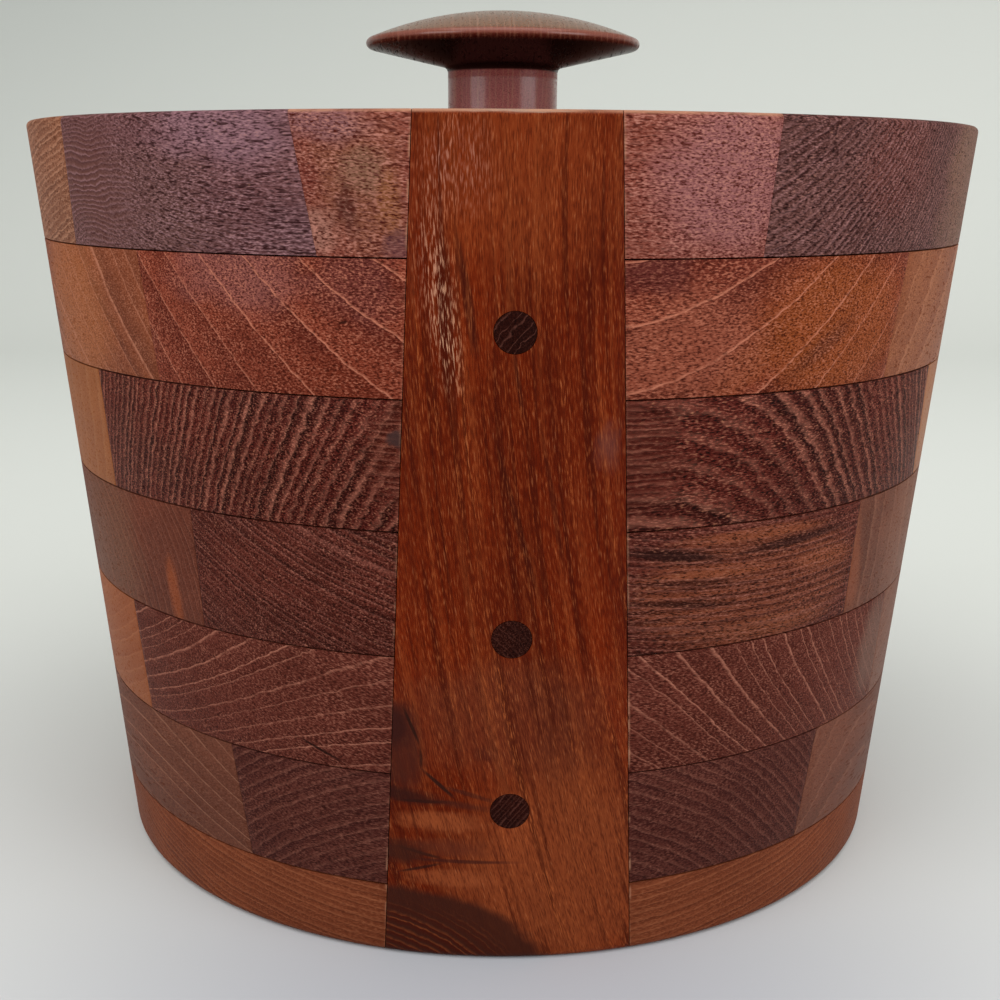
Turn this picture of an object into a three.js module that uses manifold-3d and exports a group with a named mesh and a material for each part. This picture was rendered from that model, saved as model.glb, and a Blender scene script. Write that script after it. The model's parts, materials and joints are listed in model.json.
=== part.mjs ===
// Lidded wooden canister: a tapered bucket laid up from teak bricks in six courses on a base board,
// turned true inside and out, keyed by two tapered staves that are let into the wall and pinned,
// and closed by a lift-off lid with a turned knob.
// Millimetres and degrees. +Z is up, the foot stands on Z = 0 and the front stave faces -Y.

import * as THREE from 'three';
import { mergeVertices } from 'three/addons/utils/BufferGeometryUtils.js';
import Module from 'manifold-3d';

// Bucket
const RIM_RADIUS = 96;
const FOOT_RADIUS = 82;
const BASE_THICKNESS = 14;
const COURSE_HEIGHT = 22;
const WALL_THICKNESS = 18;
const FOOT_ROUND = 2.5;
const RIM_ROUND = 1;
const MOUTH_CHAMFER = 0.8;

// Glue lines
const COURSE_LINE = 0.25;
const END_LINE = 0.12;
const STAVE_LINE = 0.3;

// Teak tones
const PLUM = 0x4d2c28;
const UMBER = 0x522c20;
const MAROON = 0x602c21;
const RUSSET = 0x7a3c28;
const CHESTNUT = 0x8a4627;
const TAN = 0x9c5f3a;
const EBONY = 0x2e1a14;

// Bricks of each course, top course first. Each brick runs from its own joint to the next one:
// the joint's angle from the front stave, positive to the viewer's right, and the lean of its saw cut.
const COURSES = [
  [
    { from: -54, lean: 4, tone: PLUM },
    { from: -20, lean: -9, tone: RUSSET },
    { from: 25, lean: 3, tone: PLUM },
    { from: 78, lean: 0, tone: MAROON },
    { from: 128, lean: 5, tone: RUSSET },
    { from: 206, lean: -4, tone: UMBER },
  ],
  [
    { from: -41, lean: -5, tone: CHESTNUT },
    { from: 46.5, lean: 6, tone: RUSSET },
    { from: 138, lean: 0, tone: CHESTNUT },
    { from: 228, lean: 3, tone: TAN },
  ],
  [
    { from: -53.5, lean: 0, tone: UMBER },
    { from: 61.5, lean: -8, tone: TAN },
    { from: 125, lean: 2, tone: PLUM },
    { from: 241, lean: 0, tone: TAN },
  ],
  [
    { from: -38, lean: 0, tone: RUSSET },
    { from: 45, lean: 0, tone: CHESTNUT },
    { from: 141, lean: -4, tone: UMBER },
    { from: 226, lean: 0, tone: MAROON },
  ],
  [
    { from: -53, lean: -3, tone: MAROON },
    { from: 58, lean: 0, tone: UMBER },
    { from: 128, lean: 0, tone: RUSSET },
    { from: 238, lean: 4, tone: CHESTNUT },
  ],
  [
    { from: -35, lean: -6, tone: MAROON },
    { from: 42, lean: 6, tone: RUSSET },
    { from: 145, lean: 0, tone: MAROON },
    { from: 223, lean: -3, tone: UMBER },
  ],
];

// Staves, let into the wall from foot to rim
const STAVE_FOOT_WIDTH = 44;
const STAVE_RIM_WIDTH = 31;
const STAVE_THICKNESS = 7;
const STAVE_TURNS = { front: 0, back: 180 };

// Pins through each stave: the course they hold, counted from the top, and how far above its middle
const STAVE_PINS = [
  { course: 2, rise: 0 },
  { course: 4, rise: -7 },
  { course: 6, rise: 5 },
];
const PIN_RADIUS = 3.35;
const PIN_LENGTH = 13;
const PIN_LINE = 0.15;

// Lid, a flange in the rebate of the rim and a plug in the mouth
const SEAT_DEPTH = 9;
const RIM_WALL = 10;
const SEAT_GAP = 0.3;
const FLANGE_CLEARANCE = 0.6;
const PLUG_DEPTH = 5;
const PLUG_CLEARANCE = 0.8;
const PLUG_CHAMFER = 1;
const LID_ROUND = 1;

// Knob, a turned mushroom on a straight stem, held by a hidden dowel
const KNOB_RADIUS = 28.5;
const KNOB_HEIGHT = 23.2;
const KNOB_EDGE_HEIGHT = 16.7;
const KNOB_EDGE_ROUND = 1;
const NECK_HEIGHT = 12;
const NECK_FILLET = 1.2;
const STEM_RADIUS = 11.5;
const KNOB_LINE = 0.3;
const DOWEL_RADIUS = 5;
const DOWEL_IN_LID = 10;
const DOWEL_IN_KNOB = 12;
const DOWEL_LINE = 0.15;

// Facets
const BUCKET_SIDES = 72;
const KNOB_SIDES = 48;
const PIN_SIDES = 24;
const ROUND_STEPS = 4;
const WELD = 1e-4;

// Sizes that follow from those above
const BODY_HEIGHT = BASE_THICKNESS + COURSES.length * COURSE_HEIGHT;
const TAPER = Math.atan((RIM_RADIUS - FOOT_RADIUS) / BODY_HEIGHT);
const SEAT_RADIUS = RIM_RADIUS - RIM_WALL;
const SEAT_HEIGHT = BODY_HEIGHT - SEAT_DEPTH;
const LID_THICKNESS = SEAT_DEPTH - SEAT_GAP;
const SPAN = 4 * Math.max(RIM_RADIUS, BODY_HEIGHT);

const wasm = await Module();
wasm.setup();

// Outer radius of the bucket at a height
function outerRadius(height) {
  return FOOT_RADIUS + height * Math.tan(TAPER);
}

// Height of the middle of a course, counted from the top
function courseMiddle(course) {
  return BODY_HEIGHT - (course - 0.5) * COURSE_HEIGHT;
}

// Solid of a closed geometry, with its shared corners merged and its flat triangles at the axis left out
function toSolid(geometry) {
  geometry.deleteAttribute('normal');
  geometry.deleteAttribute('uv');
  const welded = mergeVertices(geometry, WELD);
  const corners = [];
  for (let i = 0; i < welded.index.count; i += 3) {
    const triangle = [0, 1, 2].map((k) => welded.index.getX(i + k));
    if (new Set(triangle).size === 3) {
      corners.push(...triangle);
    }
  }
  const vertProperties = new Float32Array(welded.getAttribute('position').array);
  const triVerts = new Uint32Array(corners);
  return new wasm.Manifold(new wasm.Mesh({ numProp: 3, vertProperties, triVerts }));
}

// Named mesh of a solid, with its own finish
function addPiece(group, name, body, tone, roughness = 0.5) {
  const { vertProperties, triVerts } = body.getMesh();
  const geometry = new THREE.BufferGeometry();
  geometry.setAttribute('position', new THREE.BufferAttribute(vertProperties, 3));
  geometry.setIndex(new THREE.BufferAttribute(triVerts, 1));
  geometry.computeVertexNormals();
  const material = new THREE.MeshStandardMaterial({ color: tone, roughness, metalness: 0 });
  const piece = new THREE.Mesh(geometry, material);
  piece.name = name;
  group.add(piece);
}

// Solid turned about the Z axis from an outline of radius and height
function turned(outline, sides) {
  const lathe = new THREE.LatheGeometry(outline.getPoints(ROUND_STEPS), sides);
  return toSolid(lathe.rotateX(Math.PI / 2));
}

// Level slab between two heights
function slab(low, high) {
  return toSolid(new THREE.BoxGeometry(SPAN, SPAN, high - low).translate(0, 0, (low + high) / 2));
}

// Everything on one side of a brick joint, short of half its glue line
function besideJoint(joint, middle, side) {
  const block = new THREE.BoxGeometry(SPAN, SPAN, SPAN);
  block.translate((side * (SPAN + END_LINE)) / 2, 0, 0);
  block.rotateY(THREE.MathUtils.degToRad(joint.lean));
  block.translate(0, 0, middle);
  block.rotateZ(THREE.MathUtils.degToRad(joint.from));
  return toSolid(block);
}

// Tapered key on the bucket's outside, grown all round by a margin, with its back along the wall's taper
function staveKey(margin, turn) {
  const halfWidth = (height) =>
    margin + THREE.MathUtils.lerp(STAVE_FOOT_WIDTH, STAVE_RIM_WIDTH, height / BODY_HEIGHT) / 2;
  const low = -margin;
  const high = BODY_HEIGHT + margin;
  const face = new THREE.Shape();
  face.moveTo(-halfWidth(low), low);
  face.lineTo(halfWidth(low), low);
  face.lineTo(halfWidth(high), high);
  face.lineTo(-halfWidth(high), high);
  const prism = new THREE.ExtrudeGeometry(face, { depth: SPAN / 2, bevelEnabled: false });
  prism.rotateX(Math.PI / 2);
  prism.rotateZ(THREE.MathUtils.degToRad(turn));
  const outward = new THREE.BoxGeometry(SPAN, SPAN, SPAN);
  outward.translate(0, -SPAN / 2, 0);
  outward.rotateX(TAPER);
  outward.translate(0, STAVE_THICKNESS + margin - FOOT_RADIUS, 0);
  outward.rotateZ(THREE.MathUtils.degToRad(turn));
  return toSolid(prism).intersect(toSolid(outward));
}

// Round shank square to the bucket's outside, from just outside the wall to a depth
function pinShank(pin, radius, depth, turn) {
  const height = courseMiddle(pin.course) + pin.rise;
  const shank = new THREE.CylinderGeometry(radius, radius, depth + radius, PIN_SIDES);
  shank.translate(0, (depth - radius) / 2, 0);
  shank.rotateX(TAPER);
  shank.translate(0, -outerRadius(height), height);
  shank.rotateZ(THREE.MathUtils.degToRad(turn));
  return toSolid(shank);
}

// Bucket as it comes off the lathe, with a rounded foot and rim
function turnedOutside() {
  const outline = new THREE.Path();
  const roundLow = BODY_HEIGHT - RIM_ROUND;
  outline.moveTo(0, 0);
  outline.lineTo(FOOT_RADIUS - FOOT_ROUND, 0);
  outline.quadraticCurveTo(FOOT_RADIUS, 0, outerRadius(FOOT_ROUND), FOOT_ROUND);
  outline.lineTo(outerRadius(roundLow), roundLow);
  outline.quadraticCurveTo(RIM_RADIUS, BODY_HEIGHT, RIM_RADIUS - RIM_ROUND, BODY_HEIGHT);
  outline.lineTo(0, BODY_HEIGHT);
  return turned(outline, BUCKET_SIDES);
}

// Hollow of the bucket: a tapered bore down to the base board and the lid's rebate at the rim
function turnedInside() {
  const outline = new THREE.Path();
  outline.moveTo(0, BASE_THICKNESS);
  outline.lineTo(outerRadius(BASE_THICKNESS) - WALL_THICKNESS, BASE_THICKNESS);
  outline.lineTo(outerRadius(SEAT_HEIGHT) - WALL_THICKNESS, SEAT_HEIGHT);
  outline.lineTo(SEAT_RADIUS, SEAT_HEIGHT);
  outline.lineTo(SEAT_RADIUS, BODY_HEIGHT - MOUTH_CHAMFER);
  outline.lineTo(SEAT_RADIUS + 2 * MOUTH_CHAMFER, BODY_HEIGHT + MOUTH_CHAMFER);
  outline.lineTo(0, BODY_HEIGHT + MOUTH_CHAMFER);
  return turned(outline, BUCKET_SIDES);
}

// Grooves for the staves and bores for their pins
function staveCutters() {
  const cutters = [];
  for (const turn of Object.values(STAVE_TURNS)) {
    cutters.push(staveKey(STAVE_LINE, turn));
    for (const pin of STAVE_PINS) {
      cutters.push(pinShank(pin, PIN_RADIUS + PIN_LINE, PIN_LENGTH + PIN_LINE, turn));
    }
  }
  return cutters;
}

// Base board and the courses of bricks laid on it, grooved and bored for the staves
function buildBucket(outside) {
  const bucket = new THREE.Group();
  const cutters = staveCutters();
  const cutForStaves = (body) => cutters.reduce((left, cutter) => left.subtract(cutter), body);
  const board = outside.intersect(slab(0, BASE_THICKNESS));
  addPiece(bucket, 'base_board', cutForStaves(board), CHESTNUT);
  const wall = outside.subtract(turnedInside());
  COURSES.forEach((bricks, row) => {
    const ring = new THREE.Group();
    const high = BODY_HEIGHT - row * COURSE_HEIGHT;
    const course = wall.intersect(slab(high - COURSE_HEIGHT + COURSE_LINE, high));
    const middle = courseMiddle(row + 1);
    bricks.forEach((brick, place) => {
      const next = bricks[(place + 1) % bricks.length];
      const sawn = course
        .intersect(besideJoint(brick, middle, 1))
        .intersect(besideJoint(next, middle, -1));
      addPiece(ring, `course_${row + 1}_brick_${place + 1}`, cutForStaves(sawn), brick.tone);
    });
    bucket.add(ring);
  });
  return bucket;
}

// Stave with its three pins, turned flush with the bucket
function buildStave(name, outside) {
  const keyed = new THREE.Group();
  let stave = staveKey(0, 0).intersect(outside);
  STAVE_PINS.forEach((pin, place) => {
    const shank = pinShank(pin, PIN_RADIUS, PIN_LENGTH, 0).intersect(outside);
    stave = stave.subtract(pinShank(pin, PIN_RADIUS + PIN_LINE, PIN_LENGTH, 0));
    addPiece(keyed, `${name}_stave_pin_${place + 1}`, shank, EBONY);
  });
  addPiece(keyed, `${name}_stave`, stave, CHESTNUT, 0.35);
  keyed.rotation.z = THREE.MathUtils.degToRad(STAVE_TURNS[name]);
  return keyed;
}

// Dowel bore or dowel about the Z axis between two heights
function dowelShank(radius, low, high) {
  const shank = new THREE.CylinderGeometry(radius, radius, high - low, PIN_SIDES);
  return toSolid(shank.rotateX(Math.PI / 2).translate(0, 0, (low + high) / 2));
}

// Lid disc, with the underside of its flange on Z = 0
function lidDisc() {
  const flange = SEAT_RADIUS - FLANGE_CLEARANCE;
  const plug = outerRadius(SEAT_HEIGHT - PLUG_DEPTH) - WALL_THICKNESS - PLUG_CLEARANCE;
  const outline = new THREE.Path();
  outline.moveTo(0, -PLUG_DEPTH);
  outline.lineTo(plug - PLUG_CHAMFER, -PLUG_DEPTH);
  outline.lineTo(plug, PLUG_CHAMFER - PLUG_DEPTH);
  outline.lineTo(plug, 0);
  outline.lineTo(flange, 0);
  outline.lineTo(flange, LID_THICKNESS - LID_ROUND);
  outline.quadraticCurveTo(flange, LID_THICKNESS, flange - LID_ROUND, LID_THICKNESS);
  outline.lineTo(0, LID_THICKNESS);
  const bore = dowelShank(
    DOWEL_RADIUS + DOWEL_LINE,
    LID_THICKNESS - DOWEL_IN_LID,
    LID_THICKNESS + DOWEL_LINE,
  );
  return turned(outline, BUCKET_SIDES).subtract(bore);
}

// Mushroom knob with its stem's foot on Z = 0: a sloping underside and a domed top, both running
// smoothly into a rounded edge
function mushroom() {
  const edgeCentre = KNOB_RADIUS - KNOB_EDGE_ROUND;
  const reach = Math.hypot(edgeCentre - STEM_RADIUS, KNOB_EDGE_HEIGHT - NECK_HEIGHT);
  const sight = Math.atan2(KNOB_EDGE_HEIGHT - NECK_HEIGHT, edgeCentre - STEM_RADIUS);
  const slope = sight - Math.asin(KNOB_EDGE_ROUND / reach);
  const rise = KNOB_HEIGHT - KNOB_EDGE_HEIGHT;
  const domeRadius =
    (edgeCentre ** 2 + rise ** 2 - KNOB_EDGE_ROUND ** 2) / (2 * (rise - KNOB_EDGE_ROUND));
  const domeCentre = KNOB_HEIGHT - domeRadius;
  const brow = Math.atan2(KNOB_EDGE_HEIGHT - domeCentre, edgeCentre);
  const outline = new THREE.Path();
  outline.moveTo(0, 0);
  outline.lineTo(STEM_RADIUS, 0);
  outline.lineTo(STEM_RADIUS, NECK_HEIGHT - NECK_FILLET);
  outline.quadraticCurveTo(
    STEM_RADIUS,
    NECK_HEIGHT,
    STEM_RADIUS + NECK_FILLET * Math.cos(slope),
    NECK_HEIGHT + NECK_FILLET * Math.sin(slope),
  );
  outline.absarc(edgeCentre, KNOB_EDGE_HEIGHT, KNOB_EDGE_ROUND, slope - Math.PI / 2, brow);
  outline.absarc(0, domeCentre, domeRadius, brow, Math.PI / 2);
  const socket = dowelShank(DOWEL_RADIUS + DOWEL_LINE, -DOWEL_LINE, DOWEL_IN_KNOB);
  return turned(outline, KNOB_SIDES).subtract(socket);
}

// Lid with its knob and the dowel that joins them, resting in the rebate
function buildLid() {
  const lid = new THREE.Group();
  lid.position.z = SEAT_HEIGHT + SEAT_GAP;
  addPiece(lid, 'lid', lidDisc(), RUSSET);
  const handle = new THREE.Group();
  handle.position.z = LID_THICKNESS + KNOB_LINE;
  addPiece(handle, 'knob', mushroom(), MAROON, 0.4);
  const dowel = dowelShank(DOWEL_RADIUS, 2 * KNOB_LINE - DOWEL_IN_LID, DOWEL_IN_KNOB - KNOB_LINE);
  addPiece(handle, 'knob_dowel', dowel, TAN);
  lid.add(handle);
  return lid;
}

const outside = turnedOutside();
const canister = new THREE.Group();
canister.name = 'canister';
canister.add(buildBucket(outside));
for (const name of Object.keys(STAVE_TURNS)) {
  canister.add(buildStave(name, outside));
}
canister.add(buildLid());

export default canister;
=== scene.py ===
"""Lidded teak canister: the finished look of every piece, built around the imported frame.

The bucket is laid up from sawn bricks in six courses on a base board and turned true. Two tapered staves
are let into its wall and pinned, and a lid with a mushroom knob sits in a rebate of the rim. Each piece is
modelled again at the frame's sizes with finer roundness and softened arrises, and dressed in teak whose
growth layers run through the solid, so that every face shows the figure that such a cut would show.
Sizes are in millimetres and degrees until a mesh is made. The front stave faces -Y.
"""

import json
import logging
import math
from collections.abc import Callable, Iterable, Iterator, Mapping
from contextlib import contextmanager
from dataclasses import dataclass
from enum import Enum
from functools import partial, reduce
from typing import Self

import bmesh
import bpy
from mathutils import Euler, Matrix, Vector


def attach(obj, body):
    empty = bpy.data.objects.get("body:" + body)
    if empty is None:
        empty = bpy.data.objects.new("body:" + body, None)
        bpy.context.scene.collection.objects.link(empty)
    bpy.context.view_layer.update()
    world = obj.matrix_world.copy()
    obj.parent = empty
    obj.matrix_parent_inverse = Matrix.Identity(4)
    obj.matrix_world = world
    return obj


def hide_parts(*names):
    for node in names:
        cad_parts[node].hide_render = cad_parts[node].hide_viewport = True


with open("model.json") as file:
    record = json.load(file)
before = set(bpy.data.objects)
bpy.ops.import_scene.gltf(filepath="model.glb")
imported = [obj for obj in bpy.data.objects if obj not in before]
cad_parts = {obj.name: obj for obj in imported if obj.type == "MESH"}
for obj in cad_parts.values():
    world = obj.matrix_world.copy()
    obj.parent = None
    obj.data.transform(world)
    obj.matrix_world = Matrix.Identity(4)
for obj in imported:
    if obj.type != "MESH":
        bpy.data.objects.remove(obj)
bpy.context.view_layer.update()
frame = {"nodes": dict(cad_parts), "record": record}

LOG = logging.getLogger("canister")
MM = 0.001
WELD = MM * MM
UP = Vector((0, 0, 1))
FULL_TURN = 360
FRONT, BACK = 0, 180
FINISHED = "_finished"
FINE_ARRIS = 0.1

Point = tuple[float, float, float]
Span = tuple[float, float]
Colour = tuple[float, float, float, float]
Socket = bpy.types.NodeSocket
Sockets = bpy.types.bpy_prop_collection


class Body(Enum):
    """Bodies of the frame that the pieces ride on."""

    BUCKET = "bucket"
    LID = "lid"


def linear(code: int) -> Colour:
    """Turn a colour as seen on a screen into the light that a shader works with, by the sRGB curve.

    Args:
        code: The colour as 0xRRGGBB.

    Returns:
        Red, green, blue and alpha.
    """
    parts = [(code >> shift & 0xFF) / 255 for shift in (16, 8, 0)]
    light = [c / 12.92 if c <= 0.04045 else ((c + 0.055) / 1.055) ** 2.4 for c in parts]
    return (*light, 1.0)


def metres(*sizes: float) -> Vector:
    """Vector in metres of sizes in millimetres."""
    return Vector([size * MM for size in sizes])


def draw_out(height: float) -> None:
    """Extrude what is selected upwards by a height in metres."""
    bpy.ops.mesh.extrude_region_move(TRANSFORM_OT_translate={"value": (0, 0, height)})


@dataclass(frozen=True)
class BucketForm:
    """Turned form of the bucket, shared by everything that is let into it or sits on it."""

    rim_radius: float = 96.0
    foot_radius: float = 82.0
    base_thickness: float = 14.0
    course_height: float = 22.0
    courses: int = 6
    wall: float = 18.0
    foot_round: float = 1.6
    foot_facets: int = 6
    rim_round: float = 1.05
    rim_facets: int = 4
    mouth_chamfer: float = 0.8
    seat_depth: float = 9.0
    rim_wall: float = 10.0
    course_line: float = 0.25
    end_line: float = 0.04
    stave_foot: float = 44.0
    stave_rim: float = 31.0
    stave_line: float = 0.12
    pin_line: float = 0.06
    step: float = 1.5

    @property
    def height(self) -> float:
        """Height of the bucket without its lid."""
        return self.base_thickness + self.courses * self.course_height

    @property
    def taper(self) -> float:
        """Lean of the outside from upright, in radians."""
        return math.atan((self.rim_radius - self.foot_radius) / self.height)

    @property
    def seat_height(self) -> float:
        """Height of the ledge that carries the lid."""
        return self.height - self.seat_depth

    @property
    def seat_radius(self) -> float:
        """Radius of the rebate for the lid."""
        return self.rim_radius - self.rim_wall

    @property
    def outward(self) -> Vector:
        """Normal of the outside in the section through +X."""
        return Vector((math.cos(self.taper), 0, -math.sin(self.taper)))

    @property
    def inward(self) -> Vector:
        """Direction into the wall, square to its outside, at the front."""
        return Vector((0, math.cos(self.taper), math.sin(self.taper)))

    @property
    def stave_slope(self) -> float:
        """Loss of a stave's half width with height."""
        return (self.stave_foot - self.stave_rim) / 2 / self.height

    def outer_radius(self, height: float) -> float:
        """Radius of the outside at a height."""
        return self.foot_radius + height * math.tan(self.taper)

    def course_middle(self, course: int) -> float:
        """Height of the middle of a course, counted from the top."""
        return self.height - (course - 0.5) * self.course_height


FORM = BucketForm()


class Workpiece:
    """One piece on the bench, shaped by the same steps as by hand."""

    smooth_angle: float = math.radians(32)
    arris_angle: float = math.radians(35)
    arris_facets: int = 2

    def __init__(self, name: str) -> None:
        """Take the object that was just added as the piece.

        Args:
            name: Name of the finished piece.
        """
        self.item = bpy.context.active_object
        self.item.name = name
        self.item.data.name = name
        bpy.ops.object.transform_apply(location=True, rotation=True, scale=True)

    @classmethod
    def plate(cls, name: str, low: Span, high: Span) -> Self:
        """Lay a flat plate in the section through +X.

        Args:
            name: Name of the piece.
            low: Inner radius and lower height.
            high: Outer radius and upper height.

        Returns:
            The plate.
        """
        bpy.ops.object.select_all(action="DESELECT")
        middle = metres((low[0] + high[0]) / 2, 0, (low[1] + high[1]) / 2)
        bpy.ops.mesh.primitive_plane_add(size=1, location=middle, rotation=(math.pi / 2, 0, 0))
        bpy.context.active_object.scale = metres(high[0] - low[0], high[1] - low[1], 1 / MM)
        return cls(name)

    @classmethod
    def rod(cls, name: str, radius: float, foot: Vector, axis: Vector, length: float, sides: int) -> Self:
        """Add a round rod.

        Args:
            name: Name of the piece.
            radius: Radius of the rod.
            foot: Middle of its lower end, in metres.
            axis: Direction of its length.
            length: Length of the rod.
            sides: Facets around it.

        Returns:
            The rod.
        """
        bpy.ops.object.select_all(action="DESELECT")
        bpy.ops.mesh.primitive_cylinder_add(
            vertices=sides,
            radius=radius * MM,
            depth=length * MM,
            location=foot + axis.normalized() * (length * MM / 2),
            rotation=UP.rotation_difference(axis).to_euler(),
        )
        return cls(name)

    def hold(self) -> None:
        """Select the piece alone."""
        bpy.ops.object.select_all(action="DESELECT")
        self.item.select_set(True)
        bpy.context.view_layer.objects.active = self.item

    @contextmanager
    def bench(self) -> Iterator[None]:
        """Keep the piece in edit mode for a while, at first with all of it selected."""
        self.hold()
        bpy.ops.object.mode_set(mode="EDIT")
        bpy.ops.mesh.select_mode(type="VERT")
        bpy.ops.mesh.select_all(action="SELECT")
        yield
        bpy.ops.object.mode_set(mode="OBJECT")

    def pick(self, kind: str, wanted: Callable[[Vector], bool]) -> None:
        """Select the corners, edges or faces whose middle passes a test.

        Args:
            kind: VERT, EDGE or FACE.
            wanted: Test of a middle point in metres.
        """
        bpy.ops.mesh.select_mode(type=kind)
        bpy.ops.mesh.select_all(action="DESELECT")
        mesh = bmesh.from_edit_mesh(self.item.data)
        for part in {"VERT": mesh.verts, "EDGE": mesh.edges, "FACE": mesh.faces}[kind]:
            corners = [part.co] if kind == "VERT" else [corner.co for corner in part.verts]
            if wanted(sum(corners, Vector()) / len(corners)):
                part.select_set(True)
        bmesh.update_edit_mesh(self.item.data)

    def saw(self, point: Vector, normal: Vector, fill: bool = True, keep: bool = False) -> None:
        """Saw along a plane.

        Args:
            point: Point of the plane, in metres.
            normal: Side that is sawn off.
            fill: Close the cut.
            keep: Only split the faces and keep both sides.
        """
        with self.bench():
            bpy.ops.mesh.bisect(
                plane_co=point, plane_no=normal, use_fill=fill, clear_outer=not keep, threshold=WELD
            )

    def ease(self, kind: str, wanted: Callable[[Vector], bool], width: float, facets: int) -> None:
        """Round or chamfer chosen corners or edges.

        Args:
            kind: VERT for the corners of a plate, EDGE for the edges of a solid.
            wanted: Test of a corner or of an edge's middle, in metres.
            width: Width taken off each side.
            facets: Facets of the round, or 1 for a chamfer.
        """
        affect = "VERTICES" if kind == "VERT" else "EDGES"
        with self.bench():
            self.pick(kind, wanted)
            bpy.ops.mesh.bevel(offset=width * MM, segments=facets, affect=affect, clamp_overlap=False)

    def turn(self, start: float, sweep: float) -> None:
        """Sweep the plate about the upright axis.

        Args:
            start: Angle from the front stave where the sweep begins, positive to the viewer's right.
            sweep: Angle that it covers.
        """
        self.item.data.transform(Matrix.Rotation(math.radians(start - 90), 4, "Z"))
        steps = max(1, round(sweep / FORM.step))
        clockwise = -math.radians(sweep)
        with self.bench():
            bpy.ops.mesh.spin(steps=steps, angle=clockwise, center=(0, 0, 0), axis=UP)
            bpy.ops.mesh.select_all(action="SELECT")
            bpy.ops.mesh.remove_doubles(threshold=WELD)
            bpy.ops.mesh.normals_make_consistent(inside=False)

    def carve(self, tools: Iterable["Workpiece"], operation: str = "DIFFERENCE") -> None:
        """Cut the piece by other solids, or keep only what lies within them.

        Args:
            tools: Solids to cut with.
            operation: DIFFERENCE or INTERSECT.
        """
        self.hold()
        for tool in tools:
            cut = self.item.modifiers.new("carve", "BOOLEAN")
            cut.operation = operation
            cut.solver = "EXACT"
            cut.object = tool.item
            bpy.ops.object.modifier_apply(modifier=cut.name)

    def soften(self, width: float) -> None:
        """Break every sharp arris a little.

        Args:
            width: Width of the broken arris.
        """
        self.hold()
        arris = self.item.modifiers.new("soften", "BEVEL")
        arris.width = width * MM
        arris.segments = self.arris_facets
        arris.limit_method = "ANGLE"
        arris.angle_limit = self.arris_angle
        arris.use_clamp_overlap = True
        bpy.ops.object.modifier_apply(modifier=arris.name)

    def polish(self) -> bpy.types.Object:
        """Close the mesh, point its faces outwards and shade it smooth between arrises.

        Returns:
            The finished object.
        """
        with self.bench():
            bpy.ops.mesh.remove_doubles(threshold=WELD)
            bpy.ops.mesh.normals_make_consistent(inside=False)
        bpy.ops.object.shade_smooth_by_angle(angle=self.smooth_angle)
        return self.item

    def copy(self, name: str, angle: float) -> Self:
        """Copy the piece with its own mesh, turned about the upright axis.

        Args:
            name: Name of the copy.
            angle: Turn in degrees.

        Returns:
            The copy.
        """
        bpy.ops.object.select_all(action="DESELECT")
        twin = self.item.copy()
        twin.data = self.item.data.copy()
        twin.data.transform(Matrix.Rotation(math.radians(angle), 4, "Z"))
        bpy.context.scene.collection.objects.link(twin)
        bpy.context.view_layer.objects.active = twin
        return type(self)(name)

    def discard(self) -> None:
        """Throw the piece away once it has served as a tool."""
        bpy.data.objects.remove(self.item)


@dataclass(frozen=True)
class Patches:
    """Patches of noise.

    repeats counts them along each axis, detail is the octaves of finer noise, span is the noise at which they
    begin and end, and least is the mask between them.
    """

    repeats: Point
    detail: float
    span: Span
    least: float = 0.0


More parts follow.
